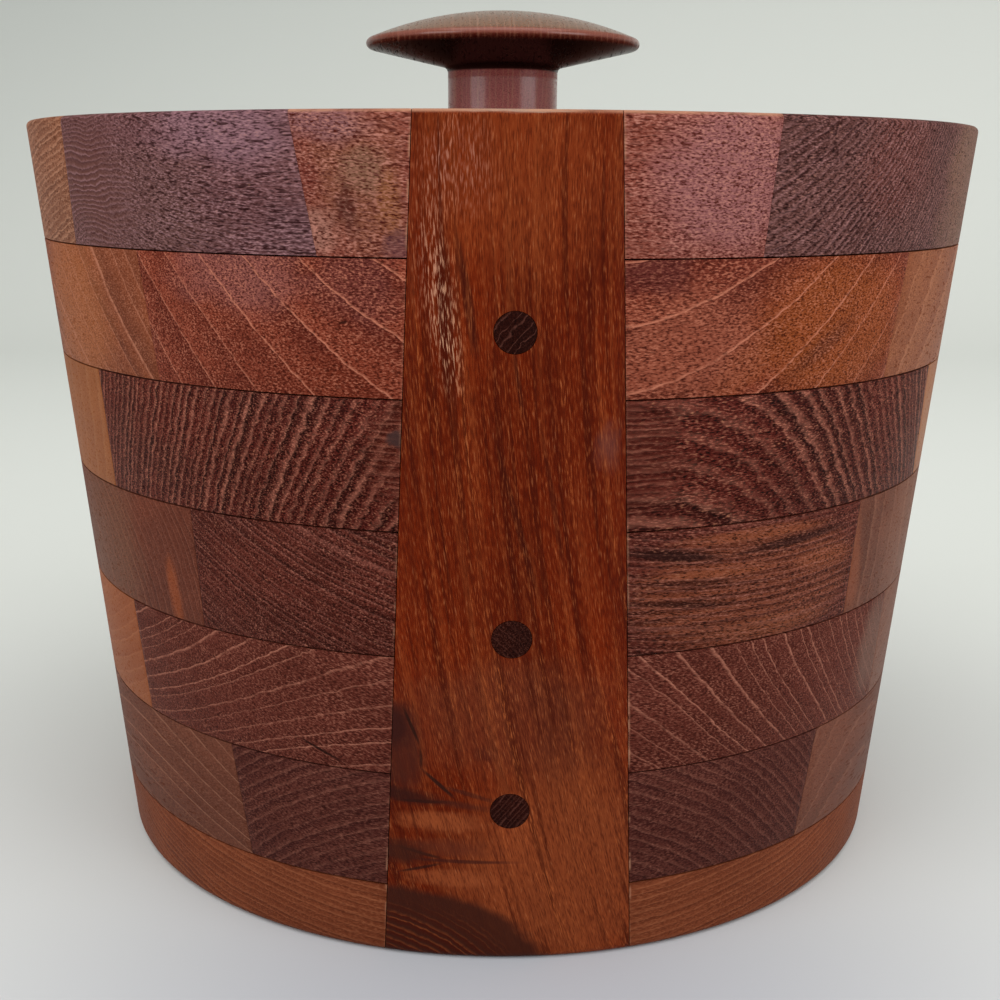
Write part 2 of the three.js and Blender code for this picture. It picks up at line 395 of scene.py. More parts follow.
class Wiring:
    """Adds and links shader nodes in one tree. What it takes is a socket or a plain number or colour."""

    def __init__(self, tree: bpy.types.NodeTree) -> None:
        """Work on a tree."""
        self.tree = tree

    def feed(self, socket: Socket, value: object) -> None:
        """Link another socket to an input, or set the input to a plain value.

        Args:
            socket: The input.
            value: What it takes.
        """
        if isinstance(value, Socket):
            self.tree.links.new(value, socket)
        else:
            socket.default_value = value

    def add(self, kind: str, feeds: Mapping[str | int, object] | None = None, **settings: object) -> Sockets:
        """Add a node.

        Args:
            kind: Node type without its ShaderNode prefix.
            feeds: Values by the name or place of the input that takes them.
            settings: Properties of the node.

        Returns:
            The node's outputs.
        """
        node = self.tree.nodes.new("ShaderNode" + kind)
        for name, value in settings.items():
            setattr(node, name, value)
        for place, value in (feeds or {}).items():
            self.feed(node.inputs[place], value)
        return node.outputs

    def math(self, operation: str, *values: object) -> Socket:
        """Result of a Math node's operation."""
        return self.add("Math", dict(enumerate(values)), operation=operation)[0]

    def times(self, *values: object) -> Socket:
        """Product of numbers."""
        return reduce(lambda product, value: self.math("MULTIPLY", product, value), values)

    def vector(self, operation: str, *values: object) -> Socket:
        """Result of a Vector Math node's operation on vectors."""
        return self.add("VectorMath", dict(enumerate(values)), operation=operation)[0]

    def length(self, vector: Socket, axes: Point = (1, 1, 1)) -> Socket:
        """Length of a vector, with each axis scaled first."""
        return self.add("VectorMath", {0: self.vector("MULTIPLY", vector, axes)}, operation="LENGTH")["Value"]

    def axes(self, vector: Socket) -> Sockets:
        """Parts of a vector as sockets X, Y and Z."""
        return self.add("SeparateXYZ", {0: vector})

    def noise(self, vector: Socket, repeats: Point, detail: float = 2.0) -> Socket:
        """Cloudy noise from 0 to 1, by its repeats along each axis and its octaves of finer noise."""
        feeds = {"Vector": self.vector("MULTIPLY", vector, repeats), "Scale": 1.0, "Detail": detail}
        return self.add("TexNoise", feeds, noise_dimensions="3D")[0]

    def sway(self, vector: Socket, repeats: Point, detail: float = 2.0) -> Socket:
        """Cloudy noise about zero."""
        return self.math("SUBTRACT", self.noise(vector, repeats, detail), 0.5)

    def ease(
        self, value: object, start: object, end: object, first: object = 0.0, last: object = 1.0
    ) -> Socket:
        """Smooth step of a value, from a first result at the start to a last one at the end."""
        feeds = dict(enumerate((value, start, end, first, last)))
        return self.add("MapRange", feeds, interpolation_type="SMOOTHSTEP")[0]

    def patches(self, vector: Socket, patches: Patches) -> Socket:
        """Mask of patches, which is 1 within them."""
        return self.ease(self.noise(vector, patches.repeats, patches.detail), *patches.span, patches.least)

    def blend(self, amount: object, under: object, over: object) -> Socket:
        """Lay one colour over another by an amount from 0 to 1."""
        return self.add("Mix", {0: amount, 6: under, 7: over}, data_type="RGBA", clamp_factor=True)[2]

    def lay(self, under: object, code: int, *masks: object) -> Socket:
        """Lay a colour, given as 0xRRGGBB, over another by the product of masks."""
        return self.blend(self.times(*masks), under, linear(code))

    def mapped(self, place: Socket, centre: Vector, turn: Euler, units: Iterable[float]) -> Socket:
        """Measure a place in another frame, by its origin, its turn and the length of its units in metres."""
        feeds = {"Vector": place, "Location": centre, "Rotation": turn, "Scale": tuple(units)}
        return self.add("Mapping", feeds, vector_type="TEXTURE")[0]

    def group(self, tree: bpy.types.NodeTree, **values: object) -> Sockets:
        """Outputs of a node group, fed by the names of its inputs."""
        return self.add("Group", values, node_tree=tree)


class Effect:
    """A shader node group, built once and placed in many materials."""

    def __init__(self, name: str, takes: Iterable[str], gives: Iterable[str]) -> None:
        """Start a group that takes a vector.

        Args:
            name: Name of the group.
            takes: Names of the numbers that it takes as well.
            gives: Names of the numbers that it gives.
        """
        self.tree = bpy.data.node_groups.new(name, "ShaderNodeTree")
        self.tree.interface.new_socket("Vector", in_out="INPUT", socket_type="NodeSocketVector")
        for side, numbers in (("INPUT", takes), ("OUTPUT", gives)):
            for number in numbers:
                self.tree.interface.new_socket(number, in_out=side, socket_type="NodeSocketFloat")
        self.wiring = Wiring(self.tree)
        self.takes = self.tree.nodes.new("NodeGroupInput").outputs
        self.gives = self.tree.nodes.new("NodeGroupOutput").inputs

    def give(self, **results: Socket) -> bpy.types.NodeTree:
        """Link the results to the group's outputs.

        Args:
            results: Sockets by output name.

        Returns:
            The finished group.
        """
        for name, result in results.items():
            self.wiring.feed(self.gives[name], result)
        return self.tree


@dataclass(frozen=True)
class Grain:
    """Noises of teak in repeats per millimetre along and across the grain, and the spans of its marks."""

    broad: Point = (0.012, 0.045, 0.045)
    fine: Point = (0.16, 0.6, 0.6)
    sway: float = 4.0
    swelling: float = 0.45
    lead: float = 0.35
    breaks: Patches = Patches((0.25, 1.1, 1.1), 1.0, (0.28, 0.55), 0.35)
    line_least: float = 0.45
    band_span: Span = (0.15, 0.95)
    crowds: Patches = Patches((0.08, 0.35, 0.35), 2.0, (0.34, 0.64), 0.5)
    grit_detail: float = 1.5
    fleck_span: Span = (0.50, 0.68)
    painted_glint_span: Span = (0.66, 0.74)
    speck_span: Span = (0.50, 0.32)
    pores: Patches = Patches((0.22, 0.5, 0.5), 1.0, (0.61, 0.67))
    pore_shift: Point = (31.0, 17.0, 53.0)
    long: Point = (0.016, 0.7, 0.7)
    streak_span: Span = (0.53, 0.66)
    strand_span: Span = (0.47, 0.34)
    cloud: Point = (0.02, 0.09, 0.09)
    cloud_detail: float = 3.0
    stain: Point = (2.2, 2.2, 2.2)
    stain_detail: float = 4.0


@dataclass(frozen=True)
class Wear:
    """Rubbed arrises in millimetres, the rim's depth in reaches and the patches in repeats per metre."""

    rim_amount: float = 0.75
    rim_reach: float = 0.7
    rim_depth: float = 3.0
    rim_gain: float = 1.5
    rim_patches: Patches = Patches((160, 160, 160), 3.0, (0.30, 0.62), 0.25)
    joint_amount: float = 0.7
    joint_reach: Span = (0.1, 0.6)
    skin_depth: Span = (3.5, 2.5)
    low: Span = (30, 118)
    low_gain: Span = (1.0, 0.12)
    high: Span = (122, 130)
    high_gain: Span = (0.0, 0.8)
    torn: Patches = Patches((420, 420, 240), 4.0, (0.46, 0.60))
    spells: Patches = Patches((70, 70, 50), 1.0, (0.40, 0.58), 0.15)


GRAIN = Grain()
WEAR = Wear()


class TeakEffects:
    """The shared effects of teak: growth layers, fibres and pores, discolouring, painted light and wear."""

    def __init__(self) -> None:
        """Build each group once."""
        self.layers = self.growth_layers()
        self.fibres = self.fibres_and_pores()
        self.stain = self.stain_patch()
        self.rim = self.worn_rim()
        self.joint = self.worn_joint()

    def growth_layers(self) -> bpy.types.NodeTree:
        """Growth layers around a pith that lies on the X axis.

        Returns:
            A group that puts out the pale line at the start of each layer, the dark band at its end, and
            a chance value for each layer.
        """
        effect = Effect(
            "growth_layers", ("Spacing", "Swell", "Wander", "Jag", "Width"), ("Line", "Band", "Chance")
        )
        wire, takes = effect.wiring, effect.takes
        place = takes["Vector"]
        depth = wire.length(place, (0, 1, 1))
        for repeats, amount in ((GRAIN.broad, "Wander"), (GRAIN.fine, "Jag")):
            depth = wire.math(
                "MULTIPLY_ADD", wire.sway(place, repeats), wire.times(takes[amount], GRAIN.sway), depth
            )
        count = wire.math("DIVIDE", depth, takes["Spacing"])
        swell = wire.add("TexNoise", {"W": count, "Scale": GRAIN.swelling}, noise_dimensions="1D")[0]
        count = wire.math("MULTIPLY_ADD", wire.math("SUBTRACT", swell, 0.5), takes["Swell"], count)
        phase = wire.math("FRACT", count)
        chance = wire.add("TexWhiteNoise", {"W": wire.math("FLOOR", count)}, noise_dimensions="1D")["Value"]
        fall = wire.ease(phase, 0.0, takes["Width"], 1.0, 0.0)
        rise = wire.ease(phase, wire.math("MULTIPLY_ADD", takes["Width"], -GRAIN.lead, 1.0), 1.0)
        breaks = wire.patches(place, GRAIN.breaks)
        strong = wire.ease(chance, 0.0, 1.0, GRAIN.line_least)
        line = wire.times(wire.math("MAXIMUM", fall, rise), breaks, strong)
        return effect.give(Line=line, Band=wire.ease(phase, *GRAIN.band_span), Chance=chance)

    def fibres_and_pores(self) -> bpy.types.NodeTree:
        """Fibres and pores that run along the X axis: dashes on long grain and dots on end grain.

        Returns:
            A group that puts out pale flecks, rare bright glints that stand for a painted highlight, dark
            specks, open pores, long dark streaks, long pale strands and a cloudy tone.
        """
        gives = ("Fleck", "Glint", "Speck", "Pore", "Streak", "Strand", "Cloud")
        effect = Effect("fibres_and_pores", ("Size", "Length"), gives)
        wire, takes = effect.wiring, effect.takes
        place = takes["Vector"]
        cell = wire.add("CombineXYZ", {"X": takes["Length"], "Y": takes["Size"], "Z": takes["Size"]})[0]
        sized = wire.vector("DIVIDE", place, cell)
        grit = wire.noise(sized, (1, 1, 1), GRAIN.grit_detail)
        long = wire.noise(place, GRAIN.long)
        return effect.give(
            Fleck=wire.times(wire.ease(grit, *GRAIN.fleck_span), wire.patches(place, GRAIN.crowds)),
            # Painted highlight: the brightest grit, later laid into the colour as pale glints.
            Glint=wire.ease(grit, *GRAIN.painted_glint_span),
            Speck=wire.ease(grit, *GRAIN.speck_span),
            Pore=wire.patches(wire.vector("ADD", sized, GRAIN.pore_shift), GRAIN.pores),
            Streak=wire.ease(long, *GRAIN.streak_span),
            Strand=wire.ease(long, *GRAIN.strand_span),
            Cloud=wire.noise(place, GRAIN.cloud, GRAIN.cloud_detail),
        )

    def stain_patch(self) -> bpy.types.NodeTree:
        """Ragged patch within the unit sphere.

        Returns:
            A group that puts out the patch's mask.
        """
        effect = Effect("stain_patch", ("Ragged", "Core"), ("Mask",))
        wire, takes = effect.wiring, effect.takes
        rough = wire.sway(takes["Vector"], GRAIN.stain, GRAIN.stain_detail)
        reach = wire.math("MULTIPLY_ADD", rough, takes["Ragged"], wire.length(takes["Vector"]))
        return effect.give(Mask=wire.ease(reach, takes["Core"], 1.0, 1.0, 0.0))

    def worn_rim(self) -> bpy.types.NodeTree:
        """Wear along the rim's outer arris, where the finish has rubbed away.

        Returns:
            A group that puts out the wear's mask from a place in metres.
        """
        effect = Effect("worn_rim", ("Height", "Radius", "Reach"), ("Mask",))
        wire, takes = effect.wiring, effect.takes
        place, height, radius, reach = (takes[name] for name in ("Vector", "Height", "Radius", "Reach"))
        rubbed = wire.ease(wire.axes(place)["Z"], wire.math("SUBTRACT", height, reach), height)
        inner = wire.math("MULTIPLY_ADD", reach, -WEAR.rim_depth, radius)
        outer = wire.ease(wire.length(place, (1, 1, 0)), inner, radius, 0.0, WEAR.rim_gain)
        return effect.give(Mask=wire.times(rubbed, outer, wire.patches(place, WEAR.rim_patches)))

    def worn_joint(self) -> bpy.types.NodeTree:
        """Pale, rubbed arris of the bricks along a stave, strongest low down and in the top course.

        Returns:
            A group that puts out the wear's mask from a place in metres.
        """
        effect = Effect("worn_joint", ("Foot", "Slope"), ("Mask",))
        wire, takes = effect.wiring, effect.takes
        place = takes["Vector"]
        axes = wire.axes(place)
        edge = wire.math("MULTIPLY_ADD", axes["Z"], takes["Slope"], takes["Foot"])
        away = wire.math("SUBTRACT", wire.math("ABSOLUTE", axes["X"]), edge)
        near = wire.ease(away, *metres(*WEAR.joint_reach), 1.0, 0.0)
        skin = wire.math("MULTIPLY_ADD", axes["Z"], -math.tan(FORM.taper), wire.length(place, (1, 1, 0)))
        outside = wire.ease(skin, *metres(*(FORM.foot_radius - depth for depth in WEAR.skin_depth)))
        low = wire.ease(axes["Z"], *metres(*WEAR.low), *WEAR.low_gain)
        high = wire.ease(axes["Z"], *metres(*WEAR.high), *WEAR.high_gain)
        torn = wire.times(wire.patches(place, WEAR.torn), wire.patches(place, WEAR.spells))
        return effect.give(Mask=wire.times(near, outside, wire.math("MAXIMUM", low, high), torn))


@dataclass(frozen=True)
class Tone:
    """Colours of one board: its ground, late wood, pale growth lines and open pores."""

    ground: int
    late: int
    line: int
    pore: int


class Teak(Enum):
    """Named tones of the boards."""

    PLUM = Tone(0x6E4646, 0x4A2828, 0xAC8084, 0x2A0E0E)
    FIG = Tone(0x66403A, 0x3A1814, 0xA27270, 0x220A08)
    ROSE = Tone(0x864638, 0x62281C, 0xBC7E6E, 0x48160E)
    HONEY = Tone(0x8C563D, 0x663724, 0xB88468, 0x4A2414)
    CHESTNUT = Tone(0x7C3624, 0x521A10, 0xC47A60, 0x380C04)
    GINGER = Tone(0x8C4A2E, 0x62301E, 0xB4745A, 0x4C200E)
    CARAMEL = Tone(0x8E5233, 0x783A1E, 0xAE7050, 0x5E2A14)
    UMBER = Tone(0x521810, 0x2A0804, 0xAE6C58, 0x120200)
    TAN = Tone(0x905430, 0x7E4628, 0xA4704E, 0x643820)
    RUSSET = Tone(0x58241A, 0x300C06, 0x985E50, 0x1E0602)
    COPPER = Tone(0x6A3626, 0x462016, 0x9A6450, 0x361208)
    MAROON = Tone(0x5A281E, 0x44180F, 0xA86C58, 0x2C0C06)
    WALNUT = Tone(0x50261E, 0x3A1612, 0x7E4E40, 0x280C08)
    HAZEL = Tone(0x6A3C2C, 0x4C261A, 0x9C6C56, 0x381A10)
    AMBER = Tone(0x743A22, 0x562614, 0x94583A, 0x441C0C)
    STAVE = Tone(0x6A1E02, 0x420C00, 0x9C4E26, 0x380800)
    KNOB = Tone(0x5C2018, 0x40120C, 0xB07A60, 0x2C0A06)
    EBONY = Tone(0x260500, 0x180200, 0x5E362C, 0x0A0000)


@dataclass(frozen=True)
class Figure:
    """How a board lay in its log.

    face is the angle from the front stave of the face that the grain runs along, pith is where the pith lies
    across that face, inward from the bucket's axis and up from the foot, and rise is the slope of the grain.
    bend is how much the grain curves across itself, per millimetre squared of its length.
    """

    face: float
    pith: Point
    rise: float = 0.0
    bend: float = 0.0
    spacing: float = 3.0
    swell: float = 1.0
    wander: float = 0.6
    jag: float = 0.2
    width: float = 0.15

    def frame(self) -> tuple[Vector, Euler]:
        """Place and turn of the log's own axes.

        Returns:
            The pith in metres and the turn that lays X along the grain.
        """
        turn = Euler((0, -math.radians(self.rise), math.radians(self.face)))
        return Matrix.Rotation(turn.z, 3, "Z") @ metres(*self.pith), turn


@dataclass(frozen=True)
class StainAndPaintedLight:
    """A patch of another colour at a place on the bucket, in millimetres: a discolouring of the wood, or
    painted light, shade, highlight or sheen.

    tilt lifts its right end, core is the share of its reach that is evenly coloured, smear lays it over the
    grain instead of under it, flecked keeps it to the pale fibres, and stripes gives it a figure of its own.
    """

    centre: Point
    reach: Point
    colour: int
    amount: float
    tilt: float = 0.0
    ragged: float = 0.5
    core: float = 0.4
    over_grain: bool = False
    flecked: bool = False
    stripes: Figure | None = None


@dataclass(frozen=True)
class TeakFinish:
    """Oiled teak of one tone and figure."""

    tone: Teak
    figure: Figure
    line: float = 0.7
    band: float = 0.4
    fleck: float = 0.55
    speck: float = 0.55
    pore: float = 0.5
    # Amount of the painted highlight glints in the colour.
    glint: float = 0.0
    streak: float = 0.0
    strand: float = 0.0
    dashed: float = 0.0
    size: float = 0.24
    length: float = 0.8
    cloud: float = 0.4
    rough: float = 0.45
    gloss: float = 0.05
    coat: float = 0.0
    dull: Span = (0.0, 0.0)
    worn_rim: bool = False
    worn_joint: bool = False
    stains_and_painted_light: tuple[StainAndPaintedLight, ...] = ()


class TeakShader:
    """Nodes of one teak material."""

    pore_rough: float = 0.25
    cloud_rough: float = 0.12
    coat_rough: float = 0.18
    dull_edge: float = 0.4
    least_band: float = 0.3
    cloud_span: Span = (0.38, 0.62)
    stripe_band: float = 0.7
    stripe_line: float = 0.5
    fleck_rise: float = 0.4
    bump: Mapping[str, float] = {"Strength": 0.35, "Distance": 0.05 * MM}

    def __init__(self, finish: TeakFinish, name: str, effects: TeakEffects) -> None:
        """Start the material with its growth layers and fibres.

        Args:
            finish: What the material shows.
            name: Name of the material.
            effects: The shared node groups.
        """
        self.finish = finish
        self.tone = finish.tone.value
        self.effects = effects
        self.material = bpy.data.materials.new(name)
        self.material.use_nodes = True
        self.wire = Wiring(self.material.node_tree)
        self.place = self.wire.add("TexCoord")["Object"]
        grain, self.layers = self.layered(finish.figure)
        self.fibres = self.wire.group(effects.fibres, Vector=grain, Size=finish.size, Length=finish.length)

    def build(self) -> bpy.types.Material:
        """Wire the colour, the sheen and the relief.

        Returns:
            The finished material.
        """
        colour = self.stained_and_lit(self.ground(), over_grain=False)
        colour = self.stained_and_lit(self.grained(colour), over_grain=True)
        looks = {
            "Base Color": self.worn(colour),
            "Roughness": self.roughness(),
            "Specular IOR Level": self.finish.gloss,
            "Normal": self.relief(),
        }
        if self.finish.coat:
            looks |= {"Coat Weight": self.polish(), "Coat Roughness": self.coat_rough}
        shader = self.material.node_tree.nodes["Principled BSDF"]
        for name, value in looks.items():
            self.wire.feed(shader.inputs[name], value)
        return self.material

    def layered(self, figure: Figure) -> tuple[Socket, Sockets]:
        """Growth layers of a figure.

        Args:
            figure: The figure.

        Returns:
            The place along the grain in millimetres, and the outputs of the layers.
        """
        wire = self.wire
        grain = wire.mapped(self.place, *figure.frame(), (MM, MM, MM))
        if figure.bend:
            axes = wire.axes(grain)
            across = wire.math("SUBTRACT", axes["Y"], wire.times(axes["X"], axes["X"], figure.bend))
            grain = wire.add("CombineXYZ", {"X": axes["X"], "Y": across, "Z": axes["Z"]})[0]
        layers = wire.group(
            self.effects.layers, Vector=grain, Spacing=figure.spacing, Swell=figure.swell,
            Wander=figure.wander, Jag=figure.jag, Width=figure.width,
        )
        return grain, layers

    def ground(self) -> Socket:
        """Broad colour of the wood, with late wood at the end of each layer and in a cloudy shade.

        Returns:
            The colour.
        """
        wire, finish, tone = self.wire, self.finish, self.tone
        chance = wire.ease(self.layers["Chance"], 0.0, 1.0, self.least_band)
        colour = wire.lay(linear(tone.ground), tone.late, self.layers["Band"], chance, finish.band)
        cloud = wire.ease(self.fibres["Cloud"], *self.cloud_span, finish.cloud, 0.0)
        return wire.lay(colour, tone.late, cloud)

    def grained(self, colour: Socket) -> Socket:
        """Draw the fibres, pores, pale growth lines and painted highlight glints over the ground.

        Args:
            colour: Colour of the ground.

        Returns:
            The grained colour.
        """
        finish, fibres, tone = self.finish, self.fibres, self.tone
        line = self.layers["Line"]
        if finish.dashed:
            line = self.wire.times(line, self.wire.ease(fibres["Fleck"], 0.0, 1.0, 1 - finish.dashed))
        for mask, amount, over in (
            (fibres["Streak"], finish.streak, tone.pore),
            (fibres["Strand"], finish.strand, tone.line),
            (fibres["Speck"], finish.speck, tone.pore),
            (fibres["Fleck"], finish.fleck, tone.line),
            (line, finish.line, tone.line),
            (fibres["Pore"], finish.pore, tone.pore),
            # Painted highlight: rare bright glints laid into the colour.
            (fibres["Glint"], finish.glint, Teak.TAN.value.line),
        ):
            if amount:
                colour = self.wire.lay(colour, over, mask, amount)
        return colour

    def stained_and_lit(self, colour: Socket, over_grain: bool) -> Socket:
        """Lay patches of discolouring and of painted light, shade, highlight and sheen on the wood.

        Args:
            colour: Colour of the wood so far.
            over_grain: Lay the patches that lie over the grain, or else those under it.

        Returns:
            The patched colour.
        """
        wire, tone = self.wire, self.tone
        for stain in (stain for stain in self.finish.stains_and_painted_light if stain.over_grain is over_grain):
            turn = Euler((0, -math.radians(stain.tilt), 0))
            spot = wire.mapped(self.place, metres(*stain.centre), turn, metres(*stain.reach))
            mask = wire.group(self.effects.stain, Vector=spot, Ragged=stain.ragged, Core=stain.core)["Mask"]
            mask = wire.times(mask, stain.amount)
            if stain.flecked:
                mask = wire.times(mask, self.fibres["Fleck"])
            over = linear(stain.colour)
            if stain.stripes:
                stripes = self.layered(stain.stripes)[1]
                over = wire.lay(over, tone.late, stripes["Band"], self.stripe_band)
                over = wire.lay(over, tone.line, stripes["Line"], self.stripe_line)
            colour = wire.blend(mask, colour, over)
        return colour

    def worn(self, colour: Socket) -> Socket:
        """Rub the finish away along the rim and beside the staves.

        Args:
            colour: Colour of the wood.

        Returns:
            The worn colour.
        """
        rim = {"Height": FORM.height * MM, "Radius": FORM.rim_radius * MM, "Reach": WEAR.rim_reach * MM}
        joint = {"Foot": FORM.stave_foot / 2 * MM, "Slope": -FORM.stave_slope}
        for worn, tree, sizes, amount in (
            (self.finish.worn_rim, self.effects.rim, rim, WEAR.rim_amount),
            (self.finish.worn_joint, self.effects.joint, joint, WEAR.joint_amount),
        ):
            if worn:
                mask = self.wire.group(tree, Vector=self.place, **sizes)["Mask"]
                colour = self.wire.lay(colour, Teak.HONEY.value.line, mask, amount)
        return colour

    def roughness(self) -> Socket:
        """Roughness of the oiled wood, higher in its pores."""
        rough = self.wire.math("MULTIPLY_ADD", self.fibres["Pore"], self.pore_rough, self.finish.rough)
        return self.wire.math("MULTIPLY_ADD", self.fibres["Cloud"], self.cloud_rough, rough)

    def polish(self) -> Socket:
        """Polish over the oil, left out between the two dull heights.

        Returns:
            The weight of the polish.
        """
        height = self.wire.axes(self.place)["Z"]
        low, high = ((dull * MM, (dull + self.dull_edge) * MM) for dull in self.finish.dull)
        below = self.wire.ease(height, *low, self.finish.coat, 0.0)
        above = self.wire.ease(height, *high, 0.0, self.finish.coat)
        return self.wire.math("ADD", below, above)

    def relief(self) -> Socket:
        """Normal of a surface with raised fibres and growth lines and sunk pores.

        Returns:
            The normal.
        """
        raised = self.wire.math("MULTIPLY_ADD", self.fibres["Fleck"], self.fleck_rise, self.layers["Line"])
        height = self.wire.math("SUBTRACT", raised, self.fibres["Pore"])
        return self.wire.add("Bump", {"Height": height, **self.bump})["Normal"]


class Assembly:
    """Takes finished pieces into the frame."""

    def __init__(self, record: dict, effects: TeakEffects) -> None:
        """Remember the frame's slots and the shared effects.

        Args:
            record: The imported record.
            effects: The shared node groups.
        """
        self.effects = effects
        self.slots = {part["node"]: part["material_slot"] for part in record["subparts"]}

    def dress(self, item: bpy.types.Object, name: str, finish: TeakFinish) -> None:
        """Give an object its finish, under the name of the node that it shows."""
        item.data.materials.clear()
        item.data.materials.append(TeakShader(finish, f"{name}_teak", self.effects).build())

    def place(self, piece: Workpiece, body: Body, finish: TeakFinish) -> None:
        """Dress a piece and let it stand for the node of its own name.

        Args:
            piece: The modelled piece.
            body: The body it rides on.
            finish: Its finish.
        """
        item = piece.polish()
        name = item.name.removesuffix(FINISHED)
        self.dress(item, name, finish)
        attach(item, body.value)
        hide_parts(name)
        LOG.info("%s: %d faces on %s", item.name, len(item.data.polygons), body.value)


@dataclass(frozen=True)
class Brick:
    """A brick from its own joint to the next one, with the lean of its saw cut."""

    start: float
    lean: float
    finish: TeakFinish

    def sweep(self, end: "Brick") -> float:
        """Angle that it covers up to the brick that follows it."""
        return (end.start - self.start) % FULL_TURN


@dataclass
class Stave:
    """A tapered stave let into the wall, with the pins that hold it."""

    thickness: float = 7.0
    arris: float = 0.15
    pin_radius: float = 3.35
    pin_length: float = 13.0
    pins: tuple[tuple[int, float], ...] = ((2, 0.0), (4, -7.0), (6, 5.0))
    pin_sides: int = 48
    half_sweep: float = 24.0
    heart: float = 58.0
    proud: float = 12.0

    def blank(self, name: str, margin: float) -> Workpiece:
        """Plate from the heart to beyond the wall, a margin longer at each end."""
        return Workpiece.plate(
            name, (self.heart, -margin), (FORM.rim_radius + self.proud, FORM.height + margin)
        )

    def wedge(self, name: str) -> Workpiece:
        """Sector of the turned bucket that holds the stave.

        Args:
            name: Name of the piece.

        Returns:
            The sector, flush with the bucket's outside.
        """
        piece = self.blank(name, 0.0)
        piece.saw(metres(FORM.foot_radius, 0, 0), FORM.outward, fill=False)
        top = (FORM.height - 1) * MM
        wide = (FORM.foot_radius - FORM.foot_round) * MM
        piece.ease("VERT", lambda at: at.z < MM and at.x > wide, FORM.foot_round, FORM.foot_facets)
        piece.ease("VERT", lambda at: at.z > top and at.x > wide, FORM.rim_round, FORM.rim_facets)
        piece.turn(-self.half_sweep, 2 * self.half_sweep)
        return piece

    def groove(self) -> Workpiece:
        """Solid that cuts the stave's groove.

        Returns:
            The cutter, proud of the wall.
        """
        piece = self.blank("groove", FORM.stave_line)
        piece.turn(-self.half_sweep, 2 * self.half_sweep)
        self.trim(piece, FORM.stave_line)
        return piece

    def trim(self, piece: Workpiece, margin: float) -> None:
        """Saw a sector to the stave's tapered sides and sloping back.

        Args:
            piece: The sector.
            margin: Growth on every side.
        """
        lean = math.atan(FORM.stave_slope)
        for side in (-1, 1):
            normal = Vector((side * math.cos(lean), 0, math.sin(lean)))
            piece.saw(metres(side * FORM.stave_foot / 2, 0, 0) + normal * margin * MM, normal)
        piece.saw(metres(0, self.thickness + margin - FORM.foot_radius, 0), FORM.inward)

    def shank(self, name: str, place: int, margin: float) -> Workpiece:
        """Round shank of a pin, square to the bucket's outside and proud of it.

        Args:
            name: Name of the piece.
            place: Which pin, from the top.
            margin: Growth of its radius and its depth in the wall.

        Returns:
            The shank.
        """
        course, rise = self.pins[place]
        height = FORM.course_middle(course) + rise
        radius = self.pin_radius + margin
        foot = metres(0, -FORM.outer_radius(height), height) - FORM.inward * radius * MM
        return Workpiece.rod(
            name, radius, foot, FORM.inward, self.pin_length + margin + radius, self.pin_sides
        )

    def cutters(self) -> dict[int, list[Workpiece]]:
        """Solids that cut the groove and then the bores of the pins.

        Returns:
            The cutters by the angle of the stave that they make room for.
        """
        bores = [self.shank("bore", place, FORM.pin_line) for place in range(len(self.pins))]
        front = [self.groove(), *bores]
        return {FRONT: front, BACK: [tool.copy("cutter", BACK) for tool in front]}

    def build(self, assembly: Assembly, bores: list[Workpiece]) -> None:
        """Model the front stave and its pins, copy them to the back and dress them all.

        Args:
            assembly: Takes the pieces.
            bores: Cutters for the bores of the front pins.
        """
        flush = self.wedge("flush")
        stave = self.wedge("front_stave" + FINISHED)
        self.trim(stave, 0.0)
        stave.carve(bores)
        stave.soften(self.arris)
        back = stave.copy("back_stave" + FINISHED, BACK)
        assembly.place(stave, Body.BUCKET, STAVE_FINISH)
        assembly.place(back, Body.BUCKET, BACK_STAVE_FINISH)
        for place, finish in enumerate(PIN_FINISHES):
            pin = self.shank(f"front_stave_pin_{place + 1}{FINISHED}", place, 0.0)
            pin.carve([flush], "INTERSECT")
            pin.soften(FINE_ARRIS)
            twin = pin.copy(f"back_stave_pin_{place + 1}{FINISHED}", BACK)
            assembly.place(pin, Body.BUCKET, finish)
            assembly.place(twin, Body.BUCKET, finish)
        flush.discard()


